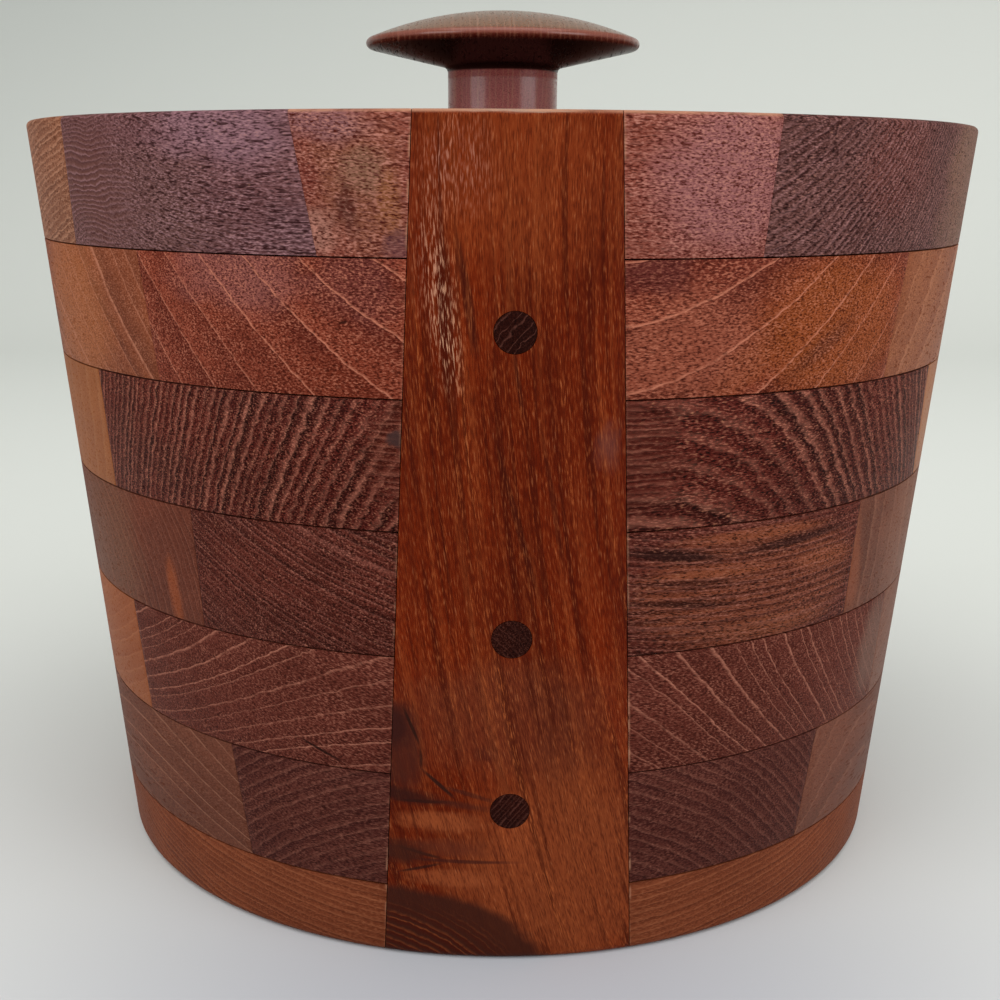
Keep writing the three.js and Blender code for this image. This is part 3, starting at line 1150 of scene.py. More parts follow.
@dataclass
class Wall:
    """Base board and the courses of bricks laid on it."""

    courses: tuple[tuple[Brick, ...], ...]
    spare: float = 10.0

    def section(self, name: str, course: int) -> Workpiece:
        """Section of the wall at a course.

        Args:
            name: Name of the piece.
            course: The course, counted from the top.

        Returns:
            The section as a plate.
        """
        high = FORM.course_middle(course) + FORM.course_height / 2
        low = high - FORM.course_height + FORM.course_line
        inner = FORM.outer_radius(low) - FORM.wall - self.spare
        piece = Workpiece.plate(name, (inner, low), (FORM.rim_radius + self.spare, high))
        piece.saw(metres(FORM.foot_radius, 0, 0), FORM.outward, fill=False)
        piece.saw(metres(FORM.foot_radius - FORM.wall, 0, 0), -FORM.outward, fill=False)
        if course == 1:
            self.rebate(piece)
        return piece

    def rebate(self, piece: Workpiece) -> None:
        """Cut the lid's rebate into the top section and ease its edges.

        Args:
            piece: The top section.
        """
        seat = FORM.seat_height * MM
        mouth = FORM.seat_radius * MM
        top = FORM.height * MM - WELD
        hand = (mouth + FORM.rim_radius * MM) / 2
        piece.saw(Vector((0, 0, seat)), UP, fill=False, keep=True)
        piece.saw(Vector((mouth, 0, 0)), Vector((1, 0, 0)), fill=False, keep=True)
        with piece.bench():
            piece.pick("FACE", lambda at: at.x < mouth and at.z > seat)
            bpy.ops.mesh.delete(type="FACE")
        piece.ease("VERT", lambda at: at.z > top and at.x > hand, FORM.rim_round, FORM.rim_facets)
        piece.ease("VERT", lambda at: at.z > top and at.x < hand, FORM.mouth_chamfer, 1)

    def brick(self, name: str, course: int, brick: Brick, end: Brick) -> Workpiece:
        """Sweep a section and saw it off at its two joints.

        Args:
            name: Name of the piece.
            course: The course, counted from the top.
            brick: The brick.
            end: The brick that follows it.

        Returns:
            The brick.
        """
        piece = self.section(name, course)
        piece.turn(brick.start - self.spare, brick.sweep(end) + 2 * self.spare)
        middle = Vector((0, 0, FORM.course_middle(course) * MM))
        for joint, side in ((brick, -1), (end, 1)):
            lean = math.radians(joint.lean)
            square = Vector((math.cos(lean), 0, -math.sin(lean)))
            normal = Matrix.Rotation(math.radians(joint.start), 3, "Z") @ square * side
            piece.saw(middle - normal * (FORM.end_line * MM / 2), normal)
        return piece

    def build(self, assembly: Assembly, cutters: dict[int, list[Workpiece]]) -> None:
        """Model and dress the board and every brick.

        Args:
            assembly: Takes the pieces.
            cutters: Cutters for the groove and the bores of each stave, by its angle.
        """
        self.build_board(assembly, [tools[0] for tools in cutters.values()])
        for course, bricks in enumerate(self.courses, 1):
            for place, brick in enumerate(bricks, 1):
                end = bricks[place % len(bricks)]
                piece = self.brick(f"course_{course}_brick_{place}{FINISHED}", course, brick, end)
                for angle, tools in cutters.items():
                    if (angle - brick.start) % FULL_TURN < brick.sweep(end):
                        piece.carve(tools)
                piece.soften(FINE_ARRIS)
                assembly.place(piece, Body.BUCKET, brick.finish)

    def build_board(self, assembly: Assembly, grooves: list[Workpiece]) -> None:
        """Model and dress the base board: a disc spread to the bucket's taper.

        Args:
            assembly: Takes the piece.
            grooves: Cutters for the grooves of the staves.
        """
        thick = FORM.base_thickness
        spread = FORM.outer_radius(thick) / FORM.foot_radius
        sides = round(FULL_TURN / FORM.step)
        board = Workpiece.rod("base_board" + FINISHED, FORM.foot_radius, Vector(), UP, thick, sides)
        with board.bench():
            board.pick("FACE", lambda at: at.z > (thick - 1) * MM)
            bpy.ops.transform.resize(value=(spread, spread, 1), center_override=(0, 0, thick * MM))
        board.ease("EDGE", lambda at: at.z < WELD, FORM.foot_round, FORM.foot_facets)
        board.carve(grooves)
        board.soften(FINE_ARRIS)
        assembly.place(board, Body.BUCKET, BOARD_FINISH)


@dataclass
class Lid:
    """Lid disc with its flange in the rebate and its plug in the mouth, and the turned knob."""

    seat_gap: float = 0.3
    flange_clearance: float = 0.6
    plug_depth: float = 5.0
    plug_clearance: float = 0.8
    plug_chamfer: float = 1.0
    top_round: float = 1.0
    top_facets: int = 4
    knob_radius: float = 28.5
    knob_height: float = 23.19
    edge_height: float = 16.7
    edge_round: float = 1.0
    edge_facets: int = 10
    neck_height: float = 12.0
    neck_fillet: float = 1.2
    neck_facets: int = 5
    dome_facets: int = 20
    stem_radius: float = 11.5
    knob_line: float = 0.3
    dowel_radius: float = 5.0
    dowel_in_lid: float = 10.0
    dowel_in_knob: float = 12.0
    dowel_line: float = 0.15
    dowel_sides: int = 32
    lid_sides: int = 144
    knob_sides: int = 96

    def build(self, assembly: Assembly) -> None:
        """Model and dress the lid and the knob.

        Args:
            assembly: Takes the pieces.
        """
        self.build_disc(assembly)
        self.build_knob(assembly)

    def bore(self, piece: Workpiece, low: float, high: float) -> None:
        """Bore a piece for the dowel.

        Args:
            piece: The piece.
            low: Height where the bore begins.
            high: Height where it ends.
        """
        radius = self.dowel_radius + self.dowel_line
        cutter = Workpiece.rod("bore", radius, metres(0, 0, low), UP, high - low, self.dowel_sides)
        piece.carve([cutter])
        cutter.discard()

    def build_disc(self, assembly: Assembly) -> None:
        """Model the lid: a disc whose underside is stepped in for the plug.

        Args:
            assembly: Takes the piece.
        """
        flange = FORM.seat_radius - self.flange_clearance
        low = FORM.seat_height + self.seat_gap
        plug = FORM.outer_radius(FORM.seat_height - self.plug_depth) - FORM.wall - self.plug_clearance
        disc = Workpiece.rod(
            "lid" + FINISHED, flange, metres(0, 0, low), UP, FORM.height - low, self.lid_sides
        )
        with disc.bench():
            disc.pick("FACE", lambda at: at.z < low * MM + WELD)
            bpy.ops.mesh.inset(thickness=(flange - plug) * MM)
            draw_out(-self.plug_depth * MM)
        top = FORM.height * MM - WELD
        bottom = (low - self.plug_depth) * MM + WELD
        rim = (flange - 1) * MM
        disc.ease("EDGE", lambda at: at.z > top and at.xy.length > rim, self.top_round, self.top_facets)
        disc.ease("EDGE", lambda at: at.z < bottom, self.plug_chamfer, 1)
        self.bore(disc, FORM.height - self.dowel_in_lid, FORM.height + self.dowel_line)
        disc.soften(FINE_ARRIS)
        assembly.place(disc, Body.LID, LID_FINISH)

    def knob_outline(self) -> list[Span]:
        """Outline of the knob above its stem.

        Returns:
            Radii and heights from the neck to the crown: a fillet, a sloping underside, a rounded edge and
            a dome that runs smoothly out of it.
        """
        centre = self.knob_radius - self.edge_round
        across = centre - self.stem_radius
        up = self.edge_height - self.neck_height
        slope = math.atan2(up, across) - math.asin(self.edge_round / math.hypot(across, up))
        rise = self.knob_height - self.edge_height
        dome = (centre**2 + rise**2 - self.edge_round**2) / (2 * (rise - self.edge_round))
        heart = self.knob_height - dome
        brow = math.atan2(self.edge_height - heart, centre)
        quarter = math.pi / 2
        outline = []
        for share in (step / self.neck_facets for step in range(1, self.neck_facets + 1)):
            away = share**2 * self.neck_fillet
            drop = (1 - share) ** 2 * self.neck_fillet
            outline.append(
                (self.stem_radius + away * math.cos(slope), self.neck_height - drop + away * math.sin(slope))
            )
        for step in range(self.edge_facets + 1):
            angle = slope - quarter + (brow - slope + quarter) * step / self.edge_facets
            away, up = self.edge_round * math.cos(angle), self.edge_round * math.sin(angle)
            outline.append((centre + away, self.edge_height + up))
        for step in range(1, self.dome_facets):
            angle = brow + (quarter - brow) * step / self.dome_facets
            outline.append((dome * math.cos(angle), heart + dome * math.sin(angle)))
        return outline

    def build_knob(self, assembly: Assembly) -> None:
        """Model the knob: a stem whose top is drawn out ring by ring along the outline.

        Args:
            assembly: Takes the piece.
        """
        foot = FORM.height + self.knob_line
        radius, height = self.stem_radius, self.neck_height - self.neck_fillet
        knob = Workpiece.rod("knob" + FINISHED, radius, metres(0, 0, foot), UP, height, self.knob_sides)
        with knob.bench():
            top = (foot + height) * MM - WELD
            knob.pick("FACE", lambda at: at.z > top)
            for wide, high in self.knob_outline():
                draw_out((high - height) * MM)
                spread = (wide / radius, wide / radius, 1)
                bpy.ops.transform.resize(value=spread, center_override=(0, 0, (foot + high) * MM))
                radius, height = wide, high
            draw_out((self.knob_height - height) * MM)
            bpy.ops.mesh.merge(type="CENTER")
        self.bore(knob, foot - self.dowel_line, foot + self.dowel_in_knob)
        assembly.place(knob, Body.LID, KNOB_FINISH)


@dataclass
class Stage:
    """Pale floor that sweeps up into a back wall, in metres."""

    half_width: float = 12.0
    front: float = -12.0
    back: float = 1.5
    rise: float = 2.4
    sweep: float = 0.7
    facets: int = 24
    floor: int = 0xD6D8DA
    # Painted light: the floor is laid paler towards the back.
    floor_back: int = 0xE8EAE4
    floor_light_span: Span = (-0.25, 0.2)
    # Painted shade: the back wall greys towards this colour upwards and to the left.
    backdrop_shade: int = 0xAAAEAA
    backdrop_shade_span: Span = (-0.2, 1.0)
    left_shade: float = 0.35
    left_limit: float = -0.8
    # Painted shadow: a soft bluish-grey patch on the floor in front of the canister.
    shade: int = 0x9E9FAE
    shade_middle: Point = (0, -0.1, 0)
    shade_reach: Point = (0.115, 0.085, 1.0)
    shade_core: float = 0.1
    shade_amount: float = 0.52
    roughness: float = 0.9

    def build(self) -> None:
        """Model the sweep and give it a pale, matt finish."""
        bpy.ops.object.select_all(action="DESELECT")
        bpy.ops.mesh.primitive_plane_add(size=1, location=(0, (self.back + self.front) / 2, 0))
        bpy.context.active_object.scale = (2 * self.half_width, self.back - self.front, 1)
        sheet = Workpiece("sweep")
        with sheet.bench():
            sheet.pick("EDGE", lambda at: at.y > self.back - MM)
            draw_out(self.rise)
            sheet.pick("EDGE", lambda at: at.y > self.back - MM and at.z < MM)
            bpy.ops.mesh.bevel(offset=self.sweep, segments=self.facets, affect="EDGES")
        bpy.ops.object.shade_smooth_by_angle(angle=Workpiece.smooth_angle)
        sheet.item.data.materials.append(self.finish())

    def finish(self) -> bpy.types.Material:
        """Matt paper: a cool floor with painted light, palest at the back, and a back wall with painted shade
        that greys it upwards and to the left; a painted shadow lies on the floor in front of the canister.

        Returns:
            The material.
        """
        paper = bpy.data.materials.new("paper")
        paper.use_nodes = True
        wire = Wiring(paper.node_tree)
        place = wire.add("TexCoord")["Object"]
        axes = wire.axes(place)
        # Painted light: the floor grows paler towards the back.
        colour = wire.lay(linear(self.floor), self.floor_back, wire.ease(axes["Y"], *self.floor_light_span))
        # Painted shade on the back wall, upwards and to the left.
        across = wire.math("MAXIMUM", axes["X"], self.left_limit)
        shade_height = wire.math("MULTIPLY_ADD", across, -self.left_shade, axes["Z"])
        colour = wire.lay(colour, self.backdrop_shade, wire.ease(shade_height, *self.backdrop_shade_span))
        # Painted shadow on the floor in front of the canister.
        away = wire.length(wire.mapped(place, Vector(self.shade_middle), Euler(), self.shade_reach))
        near = wire.ease(away, self.shade_core, 1.0, self.shade_amount, 0.0)
        shader = paper.node_tree.nodes["Principled BSDF"]
        wire.feed(shader.inputs["Base Color"], wire.lay(colour, self.shade, near))
        shader.inputs["Roughness"].default_value = self.roughness
        shader.inputs["Specular IOR Level"].default_value = 0.0
        return paper


@dataclass(frozen=True)
class Lamp:
    """A square soft light that faces the canister: its place and side in metres and its power in watts."""

    name: str
    place: Point
    side: float
    power: float

    def hang(self) -> None:
        """Hang the light."""
        lamp = bpy.data.lights.new(self.name, "AREA")
        lamp.size = self.side
        lamp.energy = self.power
        item = bpy.data.objects.new(self.name, lamp)
        item.location = self.place
        aim = metres(0, 0, FORM.height / 2) - Vector(self.place)
        item.rotation_euler = aim.to_track_quat("-Z", "Y").to_euler()
        bpy.context.scene.collection.objects.link(item)


@dataclass
class Studio:
    """Soft light from above and in front, in pale surroundings."""

    surroundings: float = 0.6
    tint: Colour = (0.99, 1.0, 0.99, 1)
    lamps: tuple[Lamp, ...] = (
        Lamp("overhead", (0.0, -0.45, 1.3), 1.6, 11.0),
        Lamp("window", (-1.3, -0.95, 0.55), 1.0, 7.5),
        Lamp("lamp", (1.3, -0.95, 0.5), 1.0, 8.0),
    )

    def build(self) -> None:
        """Light the surroundings and hang the lamps."""
        world = bpy.data.worlds.new("pale room")
        world.use_nodes = True
        ground = world.node_tree.nodes["Background"]
        ground.inputs["Color"].default_value = self.tint
        ground.inputs["Strength"].default_value = self.surroundings
        bpy.context.scene.world = world
        for lamp in self.lamps:
            lamp.hang()


@dataclass
class Viewpoint:
    """Camera at the photograph's place."""

    turn: float = -1.36
    distance: float = 308.8
    height: float = 136.6
    pitch: float = 13.0
    roll: float = 0.362
    lens: float = 50.75
    sensor: float = 36.0
    nearest: float = 10.0

    def build(self) -> None:
        """Set up the camera and make it the scene's own."""
        camera = bpy.data.cameras.new("viewpoint")
        camera.lens = self.lens
        camera.sensor_width = self.sensor
        camera.clip_start = self.nearest * MM
        item = bpy.data.objects.new("viewpoint", camera)
        heading = Matrix.Rotation(math.radians(self.turn), 4, "Z")
        look = Matrix.Rotation(math.radians(90 - self.pitch), 4, "X")
        roll = Matrix.Rotation(math.radians(self.roll), 4, "Z")
        stand = Matrix.Translation(metres(0, -self.distance, self.height))
        item.matrix_world = heading @ stand @ look @ roll
        bpy.context.scene.collection.objects.link(item)
        bpy.context.scene.camera = item


def brick(start: float, lean: float, tone: Teak, figure: Figure, **look: object) -> Brick:
    """Describe a brick.

    Args:
        start: Angle of its first joint from the front stave.
        lean: Lean of that joint.
        tone: Its tone.
        figure: How it lay in the log.
        look: Other fields of its finish.

    Returns:
        The brick.
    """
    return Brick(start, lean, TeakFinish(tone, figure, **look))


# Patches laid over the grain: knots, cracks, dust and other marks, and painted shade, highlight and sheen.
over_grain = partial(StainAndPaintedLight, over_grain=True)
crack = partial(over_grain, ragged=0.3)
LEVEL = Figure(0, (0, 0, -1000), spacing=1.15, wander=0.5, jag=0.25, width=0.45)
WAVY = Figure(40, (0, 0, -1000), spacing=0.8, swell=0.4, wander=2.2, jag=0.2, width=0.4)
SWEPT = Figure(30, (0, 0, -400), rise=1, spacing=1.7, swell=1.4, wander=0.9, jag=0.2, width=0.2)
COURSES = (
    (
        brick(
            -54, 4, Teak.PLUM,
            Figure(-20.4, (0, 215.7, -121), spacing=0.55, swell=0.6, wander=1.0, jag=0.4, width=0.5),
            line=0.6, band=0.6, dashed=0.5, fleck=0.55, speck=0.9, pore=0.8, glint=0.3, length=0.9,
            stains_and_painted_light=(
                StainAndPaintedLight((-62, -70, 130), (24, 34, 14), 0x5E3E36, 0.6, ragged=0.8),
                # Painted sheen: a pale lilac patch near the top of the brick.
                StainAndPaintedLight((-45, -84, 143), (18, 18, 7), 0x84606A, 0.6, ragged=0.8),
                StainAndPaintedLight((-30, -90, 128), (14, 14, 6), 0x5A3C40, 0.5, ragged=0.8),
                over_grain((-72, -61, 135), (20, 26, 22), 0x643C34, 0.9, ragged=0.6, core=0.1, stripes=WAVY),
            ),
        ),
        brick(
            -20, -9, Teak.ROSE,
            Figure(0, (0, 0, -1000), rise=-3, spacing=0.9, wander=1.2, jag=0.5, width=0.5),
            line=0.45, dashed=0.5, fleck=0.7, speck=1.0, pore=0.6, length=1.0, worn_rim=True, worn_joint=True,
            stains_and_painted_light=(
                StainAndPaintedLight((34, -88, 136), (20, 14, 16), 0x8E5C5E, 0.7, ragged=0.6),
                StainAndPaintedLight((-24, -92, 134), (10, 12, 14), 0x7A4834, 0.8, ragged=0.9),
                StainAndPaintedLight((-30.5, -89, 128), (4.5, 8, 4.5), 0x96685A, 0.7, ragged=0.9),
                StainAndPaintedLight((-23, -92, 137), (5, 8, 5), 0x7A5A46, 0.6, ragged=0.9),
                StainAndPaintedLight((-29, -91, 144), (10, 8, 4), 0x7A5458, 0.7, ragged=0.8),
                StainAndPaintedLight((-19, -93, 132), (2.6, 8, 7), 0x86502E, 0.7, ragged=0.9),
                StainAndPaintedLight((-25.6, -91, 131), (2.8, 8, 5.6), 0x3C1814, 0.75, ragged=1.4, core=0.2),
                StainAndPaintedLight((-31, -90, 136), (2.4, 8, 4.5), 0x6A2820, 0.6, ragged=0.9, core=0.2),
                over_grain((-17.8, -92, 126), (3.2, 8, 3.4), 0x50323A, 0.5, ragged=0.8),
            ),
        ),
        brick(
            25, 3, Teak.FIG,
            Figure(15, (0, 386, -14), spacing=0.62, swell=0.8, wander=0.5, jag=0.14, width=0.5),
            line=0.9, band=1.0, dashed=0.6, fleck=0.45, speck=1.0, pore=0.6, glint=0.4,
            stains_and_painted_light=(
                StainAndPaintedLight((64, -70, 138), (14, 14, 13), 0x663026, 0.45, ragged=0.6),
                StainAndPaintedLight((92, -30, 135), (21, 46, 34), 0x7E5A44, 0.75, core=0.65),
            ),
        ),
        brick(78, 0, Teak.MAROON, Figure(103, (0, -60, 60), spacing=2.2)),
        brick(128, 5, Teak.ROSE, Figure(167, (0, 120, 20), spacing=3.4), worn_rim=True, worn_joint=True),
        brick(
            206, -4, Teak.HONEY, Figure(-80, (0, -63.7, 93), spacing=1.1, jag=0.3, width=0.4),
            line=0.75, band=0.9,
        ),
    ),
    (
        brick(
            -41, -5, Teak.CHESTNUT,
            Figure(6.6, (0, 287.7, -36.6), spacing=4.7, swell=0.0, wander=0.2, jag=0.14, width=0.05),
            line=0.8, band=0.8, fleck=0.5, speck=0.85, worn_joint=True,
            stains_and_painted_light=(
                StainAndPaintedLight((54, -74, 112), (26, 24, 17), 0x8C4419, 0.75, ragged=0.3),
                StainAndPaintedLight((37, -84, 106.5), (9, 8, 4.5), 0x8A4420, 0.6, tilt=35, ragged=0.4),
                StainAndPaintedLight((51.5, -76, 109), (12, 10, 2.2), 0x5A2A18, 0.6, tilt=36, core=0.2),
                StainAndPaintedLight((27, -88, 110), (18, 14, 13), 0x8C4A36, 0.7),
                StainAndPaintedLight((-44, -82, 121), (18, 18, 8), 0x86504A, 0.6, ragged=0.8),
                StainAndPaintedLight((-28, -88, 104), (15, 14, 7), 0x702C1A, 0.6, ragged=0.8),
                StainAndPaintedLight((-24, -90, 120), (9, 12, 9), 0x60302C, 0.6, ragged=0.9),
                StainAndPaintedLight((22, -91, 122), (8, 12, 5), 0x542420, 0.7, ragged=0.9),
                over_grain((-26.6, -89, 114.1), (1.0, 3, 0.3), 0x2A0A04, 0.9, tilt=12),
            ),
        ),
        brick(46.5, 6, Teak.CARAMEL, Figure(75, (0, 60, 160), spacing=3.2), band=0.8, fleck=0.4, gloss=0.12),
        brick(138, 0, Teak.CHESTNUT, Figure(183, (0, 180, 0), spacing=4.0, width=0.06), worn_joint=True),
        brick(
            228, 3, Teak.GINGER, Figure(-75, (0, 47.8, 166), spacing=2.4, wander=0.3, jag=0.1, width=0.12),
            line=0.75, band=0.9, fleck=0.5, speck=0.5, pore=0.2,
            stains_and_painted_light=(StainAndPaintedLight((-80, -50, 112), (18, 24, 20), 0x9A5832, 0.8),),
        ),
    ),
    (
        brick(
            -53.5, 0, Teak.UMBER,
            Figure(14.7, (0, -500, -71.8), spacing=1.3, swell=0.7, wander=0.5, jag=0.3, width=0.5),
            line=1.0, band=1.0, dashed=0.6, fleck=0.36, speck=1.0, glint=0.5, length=0.9, worn_joint=True,
            stains_and_painted_light=(
                over_grain((-17.5, -88.5, 93), (8, 6, 14), 0x4E1C10, 0.6, stripes=LEVEL),
                over_grain((17.5, -88.5, 92), (13, 8, 15), 0x4C1A10, 0.6, ragged=0.8, stripes=LEVEL),
                over_grain((-18.6, -89, 95.8), (2.0, 4, 1.8), 0x3A2624, 0.9, ragged=0.8, core=0.5),
            ),
        ),
        brick(
            61.5, -8, Teak.TAN, Figure(93, (0, -200, 80), spacing=2.5, width=0.3),
            line=0.3, pore=0.1, fleck=0.3, speck=0.3, gloss=0.2,
            # Painted sheen: the brick's right flank is laid paler, standing in for glare seen there at a
            # grazing angle.
            stains_and_painted_light=(StainAndPaintedLight((75, -50, 92), (30, 30, 18), 0x9C6644, 0.7),),
        ),
        brick(
            125, 2, Teak.FIG, Figure(183, (0, -300, 20), spacing=1.5, width=0.5), line=0.5, worn_joint=True,
        ),
        brick(
            241, 0, Teak.TAN, Figure(-86, (0, -200, 90), spacing=2.5, width=0.3),
            line=0.3, pore=0.1, fleck=0.3, speck=0.3,
        ),
    ),
    (
        brick(
            -38, 0, Teak.RUSSET,
            Figure(
                19.6, (0, -122.1, 158.2), rise=-5.9, spacing=1.25, swell=1.4, wander=0.6, jag=0.12, width=0.35
            ),
            line=0.9, band=1.0, dashed=0.7, fleck=0.4, speck=0.9, pore=0.25, glint=0.4, worn_joint=True,
            stains_and_painted_light=(
                StainAndPaintedLight((42, -77, 68), (28, 26, 13), 0x743A24, 0.85, ragged=0.3, core=0.7, stripes=SWEPT),
                StainAndPaintedLight((42, -78.5, 77.7), (22, 16, 1.6), 0x84452A, 0.6),
                StainAndPaintedLight((34, -81, 71.6), (17, 10, 1.6), 0x84452A, 0.6),
                StainAndPaintedLight((56, -69, 71), (10, 12, 2.5), 0x84452A, 0.6),
                StainAndPaintedLight((46, -75, 60.5), (18, 18, 2.4), 0x7C422A, 0.6),
                StainAndPaintedLight((26, -84.5, 75.6), (14, 6, 1.7), 0x240A06, 0.95, tilt=-7, core=0.3),
                over_grain((26, -84.5, 75.4), (13, 6, 0.8), 0x240A06, 0.75, tilt=-7),
                StainAndPaintedLight((48, -73.5, 75.4), (19, 16, 1.3), 0x2C0E08, 0.9, tilt=4.5, core=0.3),
                over_grain((48, -73.5, 75.3), (18, 16, 0.6), 0x2C0E08, 0.6, tilt=4.5),
                StainAndPaintedLight((31, -83, 70.2), (15, 8, 1.3), 0x2E0E08, 0.7, tilt=-3, core=0.2),
                StainAndPaintedLight((29, -83, 66.6), (14, 8, 0.9), 0x240A06, 0.8, tilt=-5, core=0.2),
                StainAndPaintedLight((24, -84.5, 64), (6, 6, 0.5), 0x240A06, 0.5, core=0.2),
            ),
        ),
        brick(
            45, 0, Teak.HAZEL, Figure(80, (0, 150, 90), spacing=2.6, width=0.2),
            line=0.3, band=0.6, fleck=0.2, speck=0.3, pore=0.1, gloss=0.08,
            stains_and_painted_light=(
                # Painted sheen: the brick's right flank is laid paler and greyer, standing in for glare at a
                # grazing angle.
                StainAndPaintedLight((80, -40, 69), (18, 26, 22), 0x784C3A, 0.7),
                StainAndPaintedLight((62.5, -61, 69), (3.4, 8, 16), 0x84462C, 0.6, tilt=7),
            ),
        ),
        brick(141, -4, Teak.UMBER, Figure(183, (0, -150, 150), spacing=2.0, width=0.3), worn_joint=True),
        brick(
            226, 0, Teak.COPPER,
            Figure(-80, (0, -189, 33), spacing=1.0, swell=1.4, wander=0.5, jag=0.1, width=0.2),
            line=0.4, band=0.7, fleck=0.2, speck=0.4, pore=0.1,
            stains_and_painted_light=(
                StainAndPaintedLight((-76, -48, 69), (13, 30, 24), 0x68402E, 0.8),
                StainAndPaintedLight((-59.8, -64.6, 63), (1.7, 7, 9), 0x8A4424, 0.75, tilt=7),
            ),
        ),
    ),
    (
        brick(
            -53, -3, Teak.MAROON,
            Figure(1.4, (0, -17, 93.1), rise=-12.4, spacing=2.0, swell=1.4, wander=0.4, jag=0.14, width=0.13),
            line=1.0, band=0.5, dashed=0.2, fleck=0.4, speck=0.8, length=1.2, pore=0.2, worn_joint=True,
            stains_and_painted_light=(
                crack((-32.8, -79.2, 39.1), (6.0, 4, 0.35), 0x1E0804, 0.9, tilt=-24),
                # Painted sheen: a grey patch at the brick's right end, standing in for glare at a grazing
                # angle.
                over_grain((72, -49, 47), (8, 11, 14), 0x745A4E, 0.5),
            ),
        ),
        brick(
            58, 0, Teak.HAZEL, Figure(90, (0, -40, 90), spacing=3.0, width=0.2),
            line=0.3, fleck=0.2, speck=0.3, pore=0.1, gloss=0.1,
            # Painted sheen: the brick's right flank is laid paler and greyer, standing in for glare at a
            # grazing angle.
            stains_and_painted_light=(StainAndPaintedLight((78, -40, 47), (22, 34, 24), 0x744A3A, 0.7),),
        ),
        brick(128, 0, Teak.RUSSET, Figure(183, (0, -30, 100), spacing=2.6, width=0.12), worn_joint=True),
        brick(
            238, 4, Teak.CARAMEL, Figure(-86, (0, -150, 120), spacing=2.4, width=0.2),
            line=0.3, band=0.5, fleck=0.2, speck=0.2, pore=0.05,
        ),
    ),
    (
        brick(
            -35, -6, Teak.WALNUT,
            Figure(-2.7, (0, -207.9, -81.6), spacing=1.3, swell=0.8, wander=0.5, jag=0.15, width=0.3),
            line=0.8, band=1.0, dashed=0.5, fleck=0.45, speck=0.8, length=1.2, pore=0.3, worn_joint=True,
        ),
        brick(
            42, 6, Teak.HAZEL, Figure(60, (0, 39.9, 67.5), spacing=2.0, width=0.15),
            line=0.35, fleck=0.15, speck=0.25, pore=0.05, gloss=0.1,
        ),
        brick(145, 0, Teak.MAROON, Figure(184, (0, -120, -60), spacing=1.8, width=0.3), worn_joint=True),
        brick(
            223, -3, Teak.HAZEL, Figure(-60, (0, -39.6, 59.2), spacing=2.2, wander=0.3, jag=0.05, width=0.1),
            line=0.8, fleck=0.2, speck=0.4, pore=0.1,
        ),
    ),
)
BOARD_FINISH = TeakFinish(
    Teak.AMBER, Figure(0, (0, 300, -1000), spacing=1.3, swell=1.4, wander=0.7, jag=0.15, width=0.35),
    line=0.5, band=0.9, fleck=0.35, speck=0.4, length=5.0, pore=0.05, worn_joint=True,
)
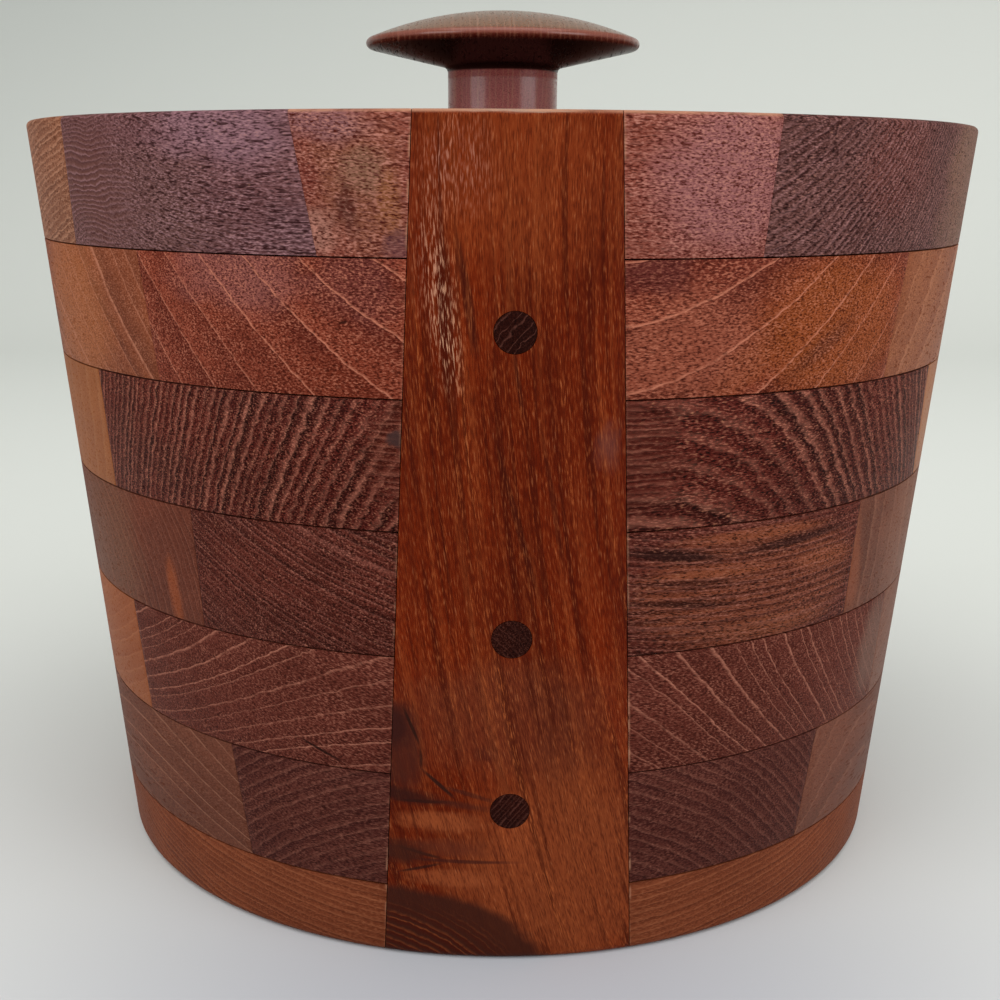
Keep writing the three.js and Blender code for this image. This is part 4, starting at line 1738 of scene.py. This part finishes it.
STAVE_FINISH = TeakFinish(
    Teak.STAVE,
    Figure(
        -90, (30, -75, 150), rise=84.5, bend=0.001, spacing=3.0, swell=2.0, wander=0.9, jag=0.12, width=0.14,
    ),
    dashed=0.9, line=0.9, band=0.6, fleck=0.36, speck=0.5, glint=0.2, streak=0.6, strand=0.16, size=0.19,
    length=1.7, pore=0.0, cloud=0.5, rough=0.36, worn_rim=True,
    stains_and_painted_light=(
        # Painted sheen: a pale pink laid on the pale fibres at the top left of the stave.
        over_grain((-9, -94.5, 138), (8, 6, 10), 0xB07C6C, 0.5, flecked=True, core=0.1),
        StainAndPaintedLight((0, -94, 140), (20, 8, 26), 0x7E3414, 0.6),
        StainAndPaintedLight((10, -82.5, 16), (26, 10, 34), 0x7E3C1E, 0.75),
        StainAndPaintedLight((0, -86, 47), (26, 10, 15), 0x5E2E1C, 0.5),
        StainAndPaintedLight((0, -90, 84), (30, 10, 34), 0x561400, 0.45),
        StainAndPaintedLight((-12, -83.5, 27.6), (10.5, 5, 2.6), 0x8E4726, 0.7),
        StainAndPaintedLight((-10, -82.6, 16.4), (11, 5, 2.4), 0x8A4424, 0.7),
        over_grain((-10.6, -92.2, 114), (3.2, 6, 16), 0xD0A080, 0.8, flecked=True, tilt=4, core=0.1),
        over_grain((-13, -92.9, 125), (3.4, 6, 17), 0xC08A70, 0.6, flecked=True, core=0.1),
        over_grain((0, -95.5, 145.9), (12, 3, 0.5), 0xA09080, 0.7, ragged=1.5),
        over_grain((15, -90, 94.5), (3, 5, 6), 0x643A32, 0.5, ragged=0.9, core=0.1),
        StainAndPaintedLight((0.7, -92, 104.4), (7.2, 5, 0.55), 0x3A0E04, 0.8, tilt=-82),
        StainAndPaintedLight((-7.3, -93, 117.7), (13, 5, 1.1), 0x3A0E04, 0.85, tilt=-81),
        StainAndPaintedLight((0.5, -89, 83), (21, 6, 0.8), 0x380E04, 0.7, tilt=-75, ragged=0.3),
        StainAndPaintedLight((6.3, -89, 86), (17, 6, 0.7), 0x380E04, 0.6, tilt=-80, ragged=0.3),
        StainAndPaintedLight((-4.1, -85.8, 40.9), (2.8, 5, 2.0), 0x46180E, 0.6),
        over_grain((-19, -84, 41), (5.6, 5, 11), 0x441C12, 0.8, ragged=0.4, core=0.5),
        over_grain((-20, -84, 45.5), (4.6, 5, 6), 0x30120E, 0.85, ragged=0.6, core=0.3),
        crack((-16.7, -84.7, 45.5), (5, 5, 0.4), 0x24100A, 0.85, tilt=-68),
        crack((-15.2, -84.4, 39.6), (2.6, 5, 0.35), 0x24100A, 0.7, tilt=-88),
        crack((-12.2, -84.4, 34.9), (5, 5, 0.5), 0x28120C, 0.9, tilt=-43),
        crack((-14.6, -83.6, 31.4), (6.4, 5, 0.45), 0x24100A, 0.85, tilt=1),
        crack((-15.4, -82.6, 21.2), (5.2, 5, 0.45), 0x24100A, 0.85, tilt=-13),
        crack((-15.5, -82.2, 18.2), (5.4, 5, 0.4), 0x2A120C, 0.8, tilt=17),
        over_grain((-6.8, -84.8, 33.1), (5.8, 5, 0.6), 0x3A1810, 0.6, tilt=-17),
        over_grain((-19.5, -83, 32.4), (12, 5, 2), 0x30120C, 0.85, tilt=-5, ragged=0.6, core=0.3),
        over_grain((-8.5, -84.5, 31), (8, 5, 1), 0x42190F, 0.7, tilt=-8, ragged=0.6, core=0.2),
        over_grain((-11, -83, 22.4), (12, 5, 2.6), 0x5A2818, 0.6, ragged=0.7, core=0.2),
        over_grain((-19.5, -82, 21), (9, 5, 3.4), 0x38180F, 0.85, ragged=0.7, core=0.3),
        crack((-8, -83.3, 19.9), (12, 5, 0.5), 0x381610, 0.75),
        over_grain((-21.8, -79.2, -3), (31, 16, 18.4), 0x38180F, 0.92, ragged=0.3, core=0.88),
        over_grain((-23.5, -79.2, -4), (29, 16, 17), 0x38180F, 0.9, ragged=0.3, core=0.6,
              stripes=Figure(90, (0, 30, -25), spacing=1.35, swell=1.2, wander=0.6, jag=0.2, width=0.34)),
    ),
)
BACK_STAVE_FINISH = TeakFinish(
    Teak.STAVE,
    Figure(
        90, (30, -70, 150), rise=84.5, bend=-0.0006, spacing=4.4, swell=2.0, wander=0.9, jag=0.12, width=0.14,
    ),
    dashed=0.9, line=0.7, band=0.7, fleck=0.3, speck=0.35, size=0.17, length=2.6, pore=0.0, cloud=0.5,
    rough=0.36, worn_rim=True,
)
PIN_FINISHES = (
    TeakFinish(
        Teak.EBONY, Figure(90, (0, -60, 60), spacing=1.2, wander=0.3, jag=0.35, width=0.2),
        line=0.9, fleck=0.15,
    ),
    TeakFinish(Teak.EBONY, Figure(90, (0, 20, 40), spacing=0.8, jag=0.3, width=0.4), line=0.25, fleck=0.45),
    TeakFinish(Teak.EBONY, Figure(90, (0, -33, 6), spacing=0.7, jag=0.1, width=0.4), line=0.55, fleck=0.2),
)
LID_FINISH = TeakFinish(Teak.MAROON, Figure(0, (0, 0, 30), spacing=3.0), length=3.0)
KNOB_FINISH = TeakFinish(
    Teak.KNOB, Figure(90, (0, 250, 160), spacing=1.2, swell=1.2, wander=0.5, jag=0.1, width=0.3),
    line=0.4, fleck=0.25, speck=0.4, length=3.0, pore=0.1, rough=0.22, gloss=0.16, coat=0.65,
    dull=(155.8, 162.7),
    stains_and_painted_light=(
        # Painted light: the stem is coloured paler than the knob's own tone, to make up for the shade under
        # the cap.
        StainAndPaintedLight((0, 0, 151), (16, 16, 12), 0x9C4C48, 0.9, ragged=0.1, core=0.9),
        # Painted sheen: the dome is coloured a paler, yellower tan that stands in for the sheen of bright
        # surroundings.
        StainAndPaintedLight((0, 0, 172), (40, 40, 14), 0x7A4A1C, 0.85, ragged=0.1, core=0.85),
        # Painted shade: the cap's underside, from the neck out to the arris, is laid almost black.
        over_grain((0, 0, 160), (44, 44, 2.9), 0x0C0201, 0.95, ragged=0.1, core=0.85),
        # Painted highlight: a lit red-brown band laid around the cap's arris.
        over_grain((0, 0, 163.4), (100, 100, 0.9), 0x8A4230, 0.6, ragged=0.2, core=0.4),
    ),
)
DOWEL_FINISH = TeakFinish(Teak.TAN, Figure(0, (8, 10, 0), rise=90, spacing=2.0))


def main() -> None:
    """Build the scene, piece by piece."""
    logging.basicConfig(level=logging.INFO, format="%(name)s: %(message)s")
    assembly = Assembly(frame["record"], TeakEffects())
    Viewpoint().build()
    stave = Stave()
    cutters = stave.cutters()
    Wall(COURSES).build(assembly, cutters)
    stave.build(assembly, cutters[FRONT][1:])
    for tool in [*cutters[FRONT], *cutters[BACK]]:
        tool.discard()
    Lid().build(assembly)
    dowel = frame["nodes"]["knob_dowel"]
    assembly.dress(dowel, "knob_dowel", DOWEL_FINISH)
    LOG.info("%s: %d faces kept from the frame", dowel.name, len(dowel.data.polygons))
    Stage().build()
    Studio().build()
    bpy.context.scene.view_settings.view_transform = "Standard"


if __name__ == "__main__":
    main()
